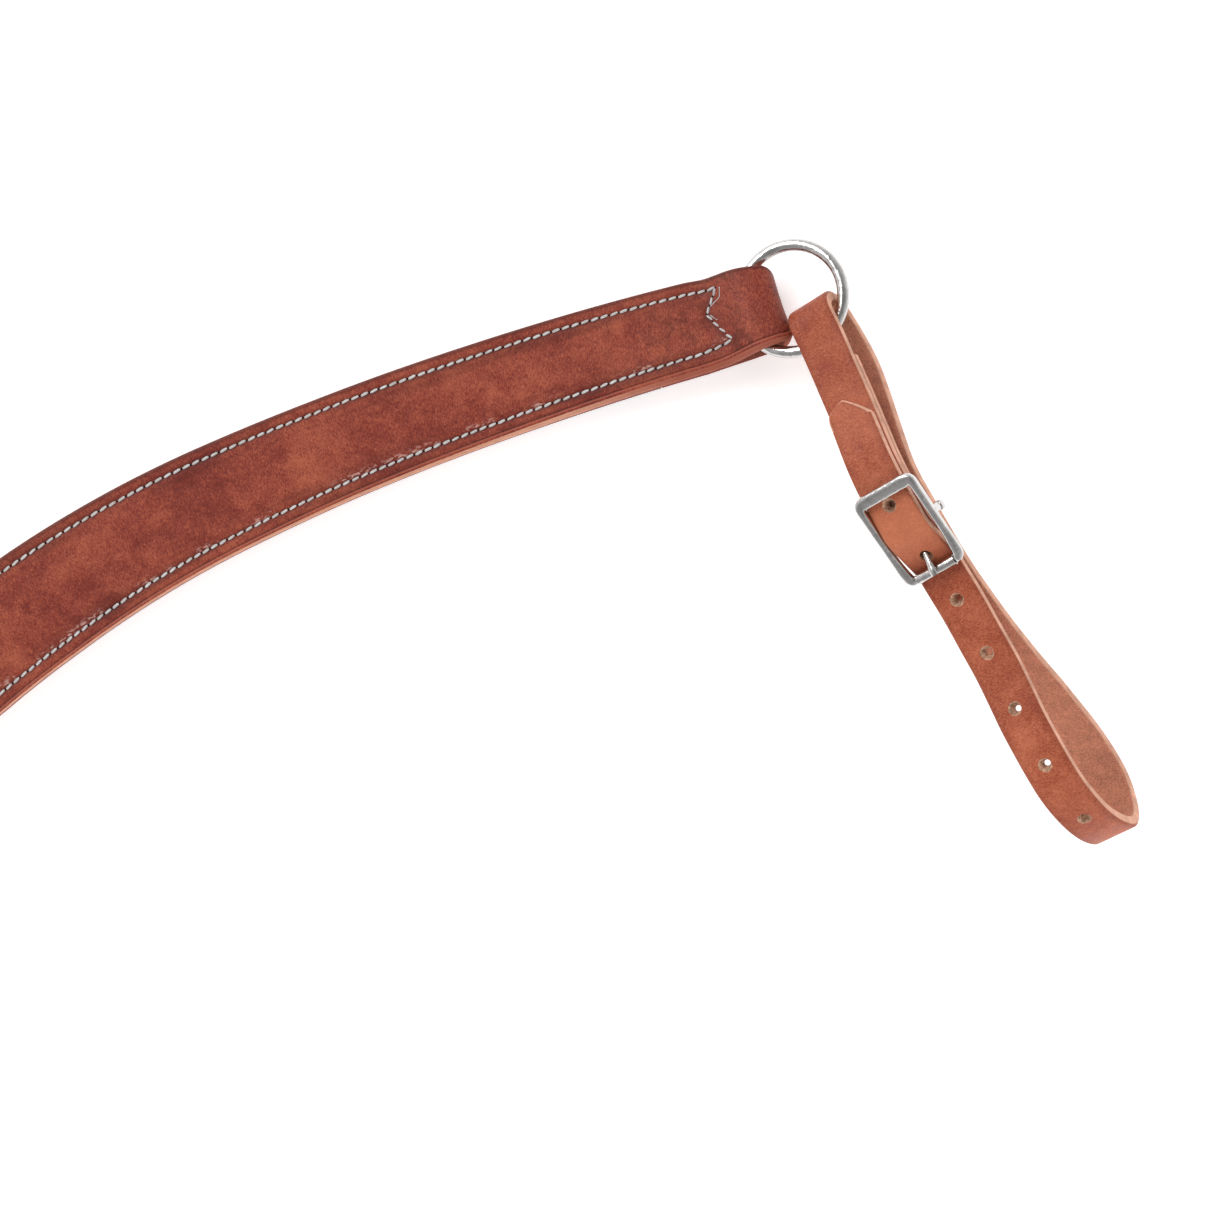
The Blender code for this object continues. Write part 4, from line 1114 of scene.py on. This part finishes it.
def tug_axes():
    """Frame origin and directions a, d, w of the tug strap, which hangs on the ring's wire."""
    centre, normal = end_ring_axes()[:2]
    along = Vector((math.cos(TUG_HEADING), math.sin(TUG_HEADING), 0.0))
    level = Vector((-math.sin(TUG_HEADING), math.cos(TUG_HEADING), 0.0))
    across = level * math.cos(TUG_ROLL) + UP * math.sin(TUG_ROLL)
    out = along.cross(across)
    in_plane = (along - normal * along.dot(normal)).normalized()
    sideways = normal.cross(in_plane)
    direction = in_plane * math.cos(HANG_TURN) + sideways * math.sin(HANG_TURN)
    hang = centre + direction * END_RING_RADIUS
    return hang + out * TUG_DROP + along * TUG_SHIFT, along, out, across


TUG_ORIGIN, TUG_ALONG, TUG_OUT, TUG_ACROSS = tug_axes()


def on_tug(a, d, w):
    """Point of the tug strap: along, out of and across it."""
    return TUG_ORIGIN + TUG_ALONG * a + TUG_OUT * d + TUG_ACROSS * w


def billet_bend():
    """Over the wrapped heel bar and down under the roller."""
    over = HEEL_BAR_RADIUS + GAP + PLY + GAP + PLY / 2
    under = ROLLER_OUTER + GAP + PLY / 2
    span = math.dist(HEEL_BAR, ROLLER_BAR)
    rise = math.atan2(ROLLER_BAR[1] - HEEL_BAR[1], ROLLER_BAR[0] - HEEL_BAR[0])
    slope = math.degrees(rise - math.asin((over + under) / span))
    return (arc(HEEL_BAR, over, over, 90.0, 90.0 + slope)
            + arc(ROLLER_BAR, under, under, 270.0 + slope, 270.0))


def tug_path():
    """Middle of the whole strap and its thickness: tip, buckle, loop, ring, heel bar and tab."""
    mount = spline(MOUNT_LAYER, FINE)
    tip = [point for point in offset(mount, PLY + GAP)
           if TIP_START <= point[0] < HEEL_BAR[0] - 1.0]
    loop = spline(LOOP_ROUTE + MOUNT_LAYER[:1], FINE)
    wrap_thick = HEEL_BAR_RADIUS + GAP + PLY / 2
    wrap_thin = HEEL_BAR_RADIUS + GAP + TUG_SKIVED / 2
    wrap = arc(HEEL_BAR, wrap_thick, wrap_thin, 90.0, -90.0)
    under = offset(mount, -(PLY / 2 + 0.4 + TUG_SKIVED / 2))
    tab = [point for point in reversed(under) if TAB_RUN[0] < point[0] < TAB_RUN[1]]
    front = resample(tip[:12], TIP_STEP) + tip[12:] + billet_bend()
    full = front + loop + mount[1:-1]
    bridge = spline([wrap[-1], (70.0, -3.3), tab[0]], FINE)[1:-1]
    thicks = list(TIP_THICKS) + [PLY] * (len(full) - len(TIP_THICKS))
    thicks += [PLY + (TUG_SKIVED - PLY) * index / (len(wrap) - 1) for index in range(len(wrap))]
    thicks += [TUG_SKIVED] * (len(bridge) + len(tab))
    return full + wrap + bridge + tab, thicks


def hole_cutter(centre, direction):
    """A round punch with slightly flared mouths, along a direction given as (a, d); the hole
    narrows to the flesh side, where the leather closes up again."""
    origin = on_tug(*centre, 0.0)
    axis = on_tug(centre[0] + direction[0], centre[1] + direction[1], 0.0) - origin
    length, mouth = PLY + 1.0, PLY / 2
    flare = length / 12.0
    radius, closed = HOLE_RADIUS, HOLE_RADIUS * HOLE_CLOSING
    profile = [(closed + flare, -length / 2), (closed + flare, -mouth), (closed, HOLE_LIP - mouth),
               (radius, mouth - HOLE_LIP), (radius + flare, mouth), (radius + flare, length / 2)]
    return turned(profile, 32, origin, axis, TUG_ACROSS)


def tongue_route():
    """Middle of the tongue as (a, d), from the heel bar's eye to its tip on the roller."""
    over_roller = ROLLER_BAR[1] + ROLLER_OUTER + GAP + TONGUE_WIRE
    return [(79.9, 0.9), (84.4, 2.2), (90.0, 3.9), (ROLLER_BAR[0], over_roller),
            (ROLLER_BAR[0] + 1.6, over_roller - 0.3)]


def tug_punches(path):
    """Punches for the strap's holes and for the tongue's slanted way through the billet."""
    punches = []
    for a in TUG_HOLES:
        row = next(i for i in range(1, len(path)) if path[i][0] >= a)
        before, after = path[row - 1], path[row]
        part = (a - before[0]) / (after[0] - before[0])
        centre = (a, before[1] + (after[1] - before[1]) * part)
        punches.append(hole_cutter(centre, (before[1] - after[1], after[0] - before[0])))
    route = tongue_route()
    direction = (route[3][0] - route[1][0], route[3][1] - route[1][1])
    origin = on_tug(*route[2], 0.0)
    axis = on_tug(route[2][0] + direction[0], route[2][1] + direction[1], 0.0) - origin
    punches.append(turned([(HOLE_RADIUS, -7.0), (HOLE_RADIUS, 7.0)], 32, origin, axis, TUG_ACROSS))
    return joined(*punches)


def tongue_slot():
    """The slot in the buckle's fold, from one face round the heel bar to the other."""
    reach = HEEL_BAR_RADIUS + GAP + PLY + GAP / 2
    low = HEEL_BAR_RADIUS + GAP + TUG_SKIVED + GAP / 2
    outline = arc(HEEL_BAR, reach, reach, 130.0, -50.0)
    outline += [(HEEL_BAR[0] + 2.0, -low), (HEEL_BAR[0] - 5.0, -low), (HEEL_BAR[0] - 5.0, 0.0)]
    return skin([[on_tug(p, q, across) for p, q in outline]
                 for across in (-SLOT_HALF, SLOT_HALF)], False)


def build_tug_strap():
    """The right tug strap with its cut tip, buckle holes and the slot for the tongue."""
    path, thicks = tug_path()
    halves, shifts, run = [], [], 0.0
    wander = undulation(9.0, 0.18, 23.0)
    for index, point in enumerate(path):
        if index:
            run += math.dist(point, path[index - 1])
        widest = TUG_HALF_WIDTH + wander(run, 0.0)
        left = min(widest, read_table(TIP_LEFT, run))
        right = min(widest, read_table(TIP_RIGHT, run))
        halves.append((left + right) / 2)
        shifts.append((right - left) / 2)
    marks = (0.0, 0.5, 1.1, 2.0, 3.1, 4.4, 5.8)
    rings, along, skins = strap_rings(path, halves, thicks, on_tug, plain_relief(5.0, 0.16, 13.0),
                                      marks, 6, tip_length=TIP_LENGTH)
    rings = [[point + TUG_ACROSS * shift for point in ring] for ring, shift in zip(rings, shifts)]
    strap = piece("right_tug_strap", skin(rings, False), ["strap", "hole"],
                  uvs={"strap": along, "skin": skins})
    combine(strap, cutter(tug_punches(path), "hole"), "DIFFERENCE")
    combine(strap, cutter(tongue_slot(), "hole"), "DIFFERENCE")
    crisp(strap.data, 40.0)
    enrol(strap, "right_tug", ["right_tug_strap"], "strap_leather")


# ---- Buckle ---------------------------------------------------------------------------

def on_frame(down, across):
    """Point in the buckle frame's plane, which leans to the roller and is turned a little."""
    part = down / FRAME_LENGTH
    run = (ROLLER_BAR[0] - TOP_BAR[0], ROLLER_BAR[1] - TOP_BAR[1])
    return on_tug(TOP_BAR[0] + run[0] * part, TOP_BAR[1] + run[1] * part,
                  across + FRAME_YAW * (1.0 - part))


def build_buckle_frame():
    """The right buckle's frame, with its heel bar and the ears that carry it."""
    run = on_tug(*ROLLER_BAR, 0.0) - on_tug(*TOP_BAR, 0.0)
    facing = run.cross(TUG_ACROSS).normalized()
    half = spline(FRAME_BAR, 0.8)
    other = [(p, -w, wide, deep) for p, w, wide, deep in reversed(half[1:-1])]
    loop = half + other
    route = [on_frame(p, w) for p, w, wide, deep in loop]
    sizes = [(wide, deep) for p, w, wide, deep in loop]
    frame_body = sweep(route, facing, sizes, 32, closed=True, power=2.8)
    tip = HEEL_BAR_HALF
    rounded = softened([(0.2, -tip), (HEEL_BAR_RADIUS, -tip), (HEEL_BAR_RADIUS, tip), (0.2, tip)],
                       0.9, 5)
    share = (HEEL_BAR[0] - TOP_BAR[0]) / (ROLLER_BAR[0] - TOP_BAR[0])
    shift = FRAME_YAW * (1.0 - share)
    heel = turned(rounded, 28, on_tug(*HEEL_BAR, shift), TUG_ACROSS, TUG_ALONG)
    side_height = TOP_BAR[1] + (ROLLER_BAR[1] - TOP_BAR[1]) * share
    ears = []
    for edge in (shift - EAR_ACROSS, shift + EAR_ACROSS):
        ear = [on_tug(HEEL_BAR[0], d, edge) for d in stations(0.2, side_height - 0.2, 1.2)]
        ears.append(sweep(ear, TUG_ACROSS, (1.75, 1.45), 24))
    steel_piece("right_buckle_frame", joined(frame_body, heel, *ears), "right_tug")


def build_tongue():
    """The right buckle's tongue, a round bar that swells to its tip, with its eye."""
    inner = HEEL_BAR_RADIUS + 0.25
    base = [(inner, -TONGUE_BASE_HALF), (inner + 1.8, -TONGUE_BASE_HALF),
            (inner + 1.8, TONGUE_BASE_HALF), (inner, TONGUE_BASE_HALF)]
    eye = turned(softened(base, 0.6, 3, True), 40, on_tug(*HEEL_BAR, 0.0), TUG_ACROSS, TUG_ALONG,
                 closed=True)
    points = spline(tongue_route(), 0.7)
    count = len(points)
    sizes = []
    for index in range(count):
        left = count - 1 - index
        end = math.sqrt(1.0 - (1.0 - min(left / 2.2, 1.0)) ** 2)
        grown = 1.0 + 0.26 * smooth((index / count - 0.55) / 0.35)
        sizes.append((TONGUE_WIRE * 0.84 * grown * (0.25 + 0.75 * end),
                      TONGUE_WIRE * 0.80 * (0.25 + 0.75 * end)))
    shaft = sweep([on_tug(a, d, 0.0) for a, d in points], TUG_OUT, sizes, 24)
    steel_piece("right_buckle_tongue", joined(eye, shaft), "right_tongue")


def build_roller():
    """The roller tube on the right frame's far bar."""
    sleeve = [(ROLLER_INNER, -ROLLER_HALF), (ROLLER_OUTER, -ROLLER_HALF),
              (ROLLER_OUTER, ROLLER_HALF), (ROLLER_INNER, ROLLER_HALF)]
    steel_piece("right_buckle_roller",
                turned(softened(sleeve, 0.22, 3, True), 48, on_tug(*ROLLER_BAR, 0.0), TUG_ACROSS,
                       TUG_ALONG, closed=True), "right_roller")


# ---- Girth strap ----------------------------------------------------------------------

def on_girth(v, h, u):
    """Point of the girth strap: along it from its upper fold, above the table and across."""
    return Vector((u, CENTRE_Y - GIRTH_START - v, h))


def girth_path():
    """Middle and thickness of the strap: tab, eye, run on the table, eye and tab."""
    raised = HEAD_HEIGHT + HEAD_ROOM
    rise_start, rise_end = CENTRE_EYE_RISE
    fall_start, fall_end = GIRTH_FACE_FALL
    tab, face = raised + SKIVED / 2, raised + SKIVED + GAP + PLY / 2
    eye = (CENTRE_EYE + PLY, CENTRE_WIRE_HEIGHT)
    half = [(v, tab) for v in stations(GIRTH_TAB, GIRTH_TAB_RISE + FINE, FINE)]
    half += ramp(GIRTH_TAB_RISE, rise_start, tab, SKIVED / 2, 9)
    skived = len(half)
    half += arc(eye, CENTRE_EYE + SKIVED / 2, CENTRE_EYE + PLY / 2, 270.0, 90.0)
    turning = len(half) - skived
    half += ramp(rise_start, rise_end, CENTRE_WIRE_HEIGHT + CENTRE_EYE + PLY / 2, face, 12)
    half += [(v, face) for v in stations(rise_end + FINE, fall_start - FINE, FINE)]
    half += ramp(fall_start, fall_end, face, PLY / 2, 15)
    middle = [(v, PLY / 2) for v in stations(fall_end + FINE, GIRTH_LENGTH - fall_end - FINE, FINE)]
    growing = [SKIVED + (PLY - SKIVED) * (index + 1) / turning for index in range(turning)]
    thicks = [SKIVED] * skived + growing + [PLY] * (len(half) - skived - turning)
    path = half + middle + [(GIRTH_LENGTH - v, h) for v, h in reversed(half)]
    return path, thicks + [PLY] * len(middle) + thicks[::-1]


def build_girth_strap():
    """The girth strap and the two-part leather screws that close its folds."""
    path, thicks = girth_path()
    marks = (0.0, 0.5, 1.1, 2.0, 3.1, 4.6, 6.2)
    rings, along, skins = strap_rings(path, [GIRTH_HALF_WIDTH] * len(path), thicks, on_girth,
                                      plain_relief(7.0, 0.18, 15.0), marks, 8)
    strap = piece("girth_strap", skin(rings, False), ["strap", "hole"],
                  uvs={"strap": along, "skin": skins})
    holes = []
    for name, v in (("upper", SCREW_STATION), ("lower", GIRTH_LENGTH - SCREW_STATION)):
        centre = on_girth(v, 0.0, 0.0)
        holes.append(turned([(POST_RADIUS + GAP, 1.0), (POST_RADIUS + GAP, 15.0)], 32, centre,
                            UP, SIDEWAYS))
        build_leather_screw(name, centre)
    combine(strap, cutter(joined(*holes), "hole"), "DIFFERENCE")
    crisp(strap.data, 40.0)
    enrol(strap, "girth", ["girth_strap"], "strap_leather")


def build_leather_screw(name, centre):
    """A post from below and a slotted, domed screw from above."""
    top = HEAD_HEIGHT + HEAD_ROOM + SKIVED + GAP + PLY
    cap = HEAD_HEIGHT + 0.1
    outside = [(POST_RADIUS * 0.3, 0.1), (HEAD_RADIUS, 0.1), (HEAD_RADIUS, cap),
               (POST_RADIUS, cap), (POST_RADIUS, top - 0.2), (POST_BORE, top - 0.2),
               (POST_BORE, 3.0)]
    steel_piece(name + "_screw_post",
                turned(softened(outside, 0.45), 48, centre, UP, SIDEWAYS), "girth", 30.0)
    head = top + GAP
    dome = [(HEAD_RADIUS * math.cos(turn), head + 0.55 + (HEAD_HEIGHT - 0.55) * math.sin(turn))
            for turn in (math.pi / 2 * step / 10 for step in range(10))]
    stud = [(1.3, 4.5), (1.3, head), (HEAD_RADIUS - 0.1, head), (HEAD_RADIUS, head + 0.15)]
    screw = piece(name + "_screw", turned(stud + dome, 48, centre, UP, SIDEWAYS), ["steel"],
                  sharp=30.0)
    end, side = HEAD_RADIUS + 1.0, 0.45
    corners = [(-end, -side), (end, -side), (end, side), (-end, side)]
    blades = [[centre + Vector((x, y, height)) for x, y in corners]
              for height in (head + 0.75, head + 3.0)]
    combine(screw, cutter(skin(blades, False)), "DIFFERENCE")
    crisp(screw.data, 30.0)
    enrol(screw, "girth", [name + "_screw"], "steel")


# ---- Snap -----------------------------------------------------------------------------

def on_snap(x, v, z=0.0):
    """Snap point: across, away from the swivel's bar, and above the bar's height."""
    bar_y = CENTRE_Y - GIRTH_START - GIRTH_LENGTH + CENTRE_EYE + PLY + 0.6
    return Vector((x, bar_y - v, CENTRE_WIRE_HEIGHT + z))


def on_snap_axis(profile, sides, closed=False):
    """A profile of (radius, distance from the swivel's bar) turned about the snap's axis."""
    return turned(profile, sides, on_snap(0.0, 0.0), AWAY, UP, closed)


def build_swivel():
    """The swivel: a bowed loop round the strap's fold, with a hub that the body turns on."""
    corner = SWIVEL_CORNER
    loop = arc((SWIVEL_HALF - corner, corner), corner, corner, -90.0, 0.0)
    bow = spline([(SWIVEL_HALF, corner), (SWIVEL_HALF, 10.5), (13.0, 14.0), (6.5, 15.9),
                  (0.0, 16.3)], 0.9)
    outline = loop + bow[1:] + [(-x, v) for x, v in reversed(loop + bow[1:-1])]
    route = [on_snap(x, v) for x, v in outline]
    bar = sweep(route, UP, (SWIVEL_BAR, SWIVEL_BAR), 24, closed=True)
    neck, head = HUB_BORE - 0.4, HUB_END - 2.0
    hub = [(2.6, 14.0), (4.0, 15.2), (4.0, BARREL_START - GAP), (neck, BARREL_START - GAP),
           (neck, head), (3.2, head), (3.2, HUB_END)]
    steel_piece("snap_swivel", joined(bar, on_snap_axis(softened(hub, 0.5), 40)), "snap_swivel")


def build_snap_body():
    """The snap's barrel with its hook and the thumb knob's window."""
    floor = BARREL_START + BARREL_WALL
    outside = [(HUB_BORE, BARREL_START), (BARREL_RADIUS, BARREL_START),
               (BARREL_RADIUS, BARREL_END)]
    inside = [(BARREL_BORE, BARREL_END), (BARREL_BORE, floor), (HUB_BORE, floor)]
    barrel = piece("snap_body",
                   on_snap_axis(softened(outside + inside, 0.8, 4, True), 56, closed=True),
                   ["steel"])
    route = spline(HOOK_ROUTE, 1.2)
    count = len(route)
    sizes = []
    for index in range(count):
        start = 1.6 + (HOOK_RADIUS - 1.6) * smooth(index / 6.0)
        left = count - 1 - index
        end = 1.0 - 0.17 * (1.0 - min(left / 2.0, 1.0)) ** 2
        sizes.append((start * end, start * end))
    hook = sweep([on_snap(x, v) for x, v in route], UP, sizes, 28)
    combine(barrel, cutter(hook), "UNION")
    bore = [(BARREL_BORE, 40.0), (BARREL_BORE, BARREL_END + 1.5)]
    combine(barrel, cutter(on_snap_axis(bore, 56)), "DIFFERENCE")
    half = WINDOW_HALF
    window = arc((0.0, WINDOW_START + half), half, half, 180.0, 360.0, 20.0)
    window += arc((0.0, WINDOW_END - half), half, half, 0.0, 180.0, 20.0)
    rings = [[on_snap(x, v, z) for x, v in window] for z in (1.0, 9.0)]
    combine(barrel, cutter(skin(rings, False)), "DIFFERENCE")
    crisp(barrel.data, 35.0)
    enrol(barrel, "snap_body", ["snap_body"], "steel")


def build_snap_bolt():
    """The sliding bolt with its thumb knob, and the spring behind it."""
    rod = [(0.3, BOLT_START), (BOLT_RADIUS, BOLT_START), (BOLT_RADIUS, BOLT_END), (0.3, BOLT_END)]
    shape = on_snap_axis(softened(rod, 1.0, 5), 40)
    knob = [(1.4, 1.0), (1.4, 7.2), (2.8, 8.0), (2.8, 9.8), (0.3, 10.0)]
    thumb = turned(softened(knob, 0.5), 36, on_snap(0.0, BOLT_START + 4.5), UP, AWAY)
    steel_piece("snap_bolt", joined(shape, thumb), "snap_bolt")

    turns, per_turn, wire, coil = 7, 28, 0.4, 2.7
    start, end = HUB_END + GAP + wire, BOLT_START - GAP - wire
    route = []
    for index in range(turns * per_turn + 1):
        part = index / (turns * per_turn)
        angle = 2.0 * math.pi * turns * part
        route.append(on_snap(coil * math.cos(angle), start + (end - start) * part,
                             coil * math.sin(angle)))
    steel_piece("snap_spring", sweep(route, AWAY, (wire, wire), 10), "snap_body", 80.0)


# ---- Stage ----------------------------------------------------------------------------

def build_floor():
    """A pale floor, just under the object."""
    half = 4.0
    mesh = bpy.data.meshes.new("floor")
    mesh.from_pydata([(-half, -half, 0.0), (half, -half, 0.0), (half, half, 0.0),
                      (-half, half, 0.0)], [], [(0, 1, 2, 3)])
    floor = bpy.data.objects.new("floor", mesh)
    floor.location.z = -0.6 * MM
    paper = Look("pale_paper", 0.0)
    tone = paper.tones(paper.noise(6.0, 3.0), (0.3, grey(0.90)), (0.7, grey(0.92)))
    mesh.materials.append(paper.finish(Base_Color=tone, Roughness=1.0, Emission_Strength=0.42,
                                       Emission_Color=(1.0, 1.0, 1.0, 1.0)))
    bpy.context.collection.objects.link(floor)


def build_studio():
    """Light from all round, darker from above and behind one grey card, and three soft lamps."""
    world = bpy.data.worlds.new("studio")
    world.use_nodes = True
    studio = Nodes(world.node_tree)
    direction = studio.add("ShaderNodeTexCoord").outputs["Generated"]
    height = studio.add("ShaderNodeSeparateXYZ", {0: direction}).outputs[2]
    facing = studio.add("ShaderNodeVectorMath", {0: direction, 1: GREY_CARD.normalized()},
                        operation="DOT_PRODUCT").outputs["Value"]
    background = studio.tree.nodes["Background"]
    studio.set(background.inputs["Color"], studio.tones(
        height, (0.0, grey(0.90)), (0.5, grey(0.82)), (1.0, grey(0.26))))
    studio.set(background.inputs["Strength"], studio.fit(facing, 0.76, 0.95, 0.92, 0.52))
    bpy.context.scene.world = world

    target = Vector((0.35, 0.25, 0.0))
    for name, place, size, power in (
            ("key", (-0.8, 1.3, 1.2), 1.2, 24.0), ("fill", (1.8, -0.3, 1.1), 1.4, 14.0),
            ("low", (0.1, -1.6, 1.0), 1.4, 11.0)):
        light = bpy.data.lights.new(name, "AREA")
        light.shape = "SQUARE"
        light.size = size
        light.energy = power
        lamp = bpy.data.objects.new(name, light)
        lamp.location = place
        lamp.rotation_euler = (target - lamp.location).to_track_quat("-Z", "Y").to_euler()
        lamp.visible_glossy = name == "key"
        bpy.context.collection.objects.link(lamp)


def build_camera():
    """A camera that looks straight down at the right-hand end, from beside its ring."""
    low, high = (Vector(corner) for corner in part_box("right_end_ring"))
    ring = (low + high) / 2
    data = bpy.data.cameras.new("camera")
    data.lens = CAMERA_LENS
    data.sensor_width = 36.0
    camera = bpy.data.objects.new("camera", data)
    camera.location = (ring.x + CAMERA_SHIFT.x, ring.y + CAMERA_SHIFT.y, CAMERA_HEIGHT)
    bpy.context.collection.objects.link(camera)
    bpy.context.scene.camera = camera
    bpy.context.scene.view_settings.view_transform = "Standard"


def main():
    """Build everything; the right half's pieces are attached together with their twins."""
    centre = Vector((0.0, CENTRE_Y, CENTRE_WIRE_HEIGHT))
    steel_piece("centre_ring", ring_shape(centre, UP, SIDEWAYS, CENTRE_RING_RADIUS, CENTRE_WIRE),
                "centre_ring")
    ring_centre, normal, outward = end_ring_axes()
    steel_piece("right_end_ring",
                ring_shape(ring_centre, normal, outward, END_RING_RADIUS, END_WIRE),
                "right_end_ring")
    build_shoulder()
    build_tug_strap()
    build_buckle_frame()
    build_tongue()
    build_roller()
    for made, body, nodes, slot in right_pieces:
        attach(made, body, nodes)
        twin = mirrored(made, made.name.replace("right_", "left_"))
        attach(twin, body.replace("right_", "left_"),
               [node.replace("right_", "left_") for node in nodes])
    build_girth_strap()
    build_swivel()
    build_snap_body()
    build_snap_bolt()
    build_floor()
    build_studio()
    build_camera()


main()
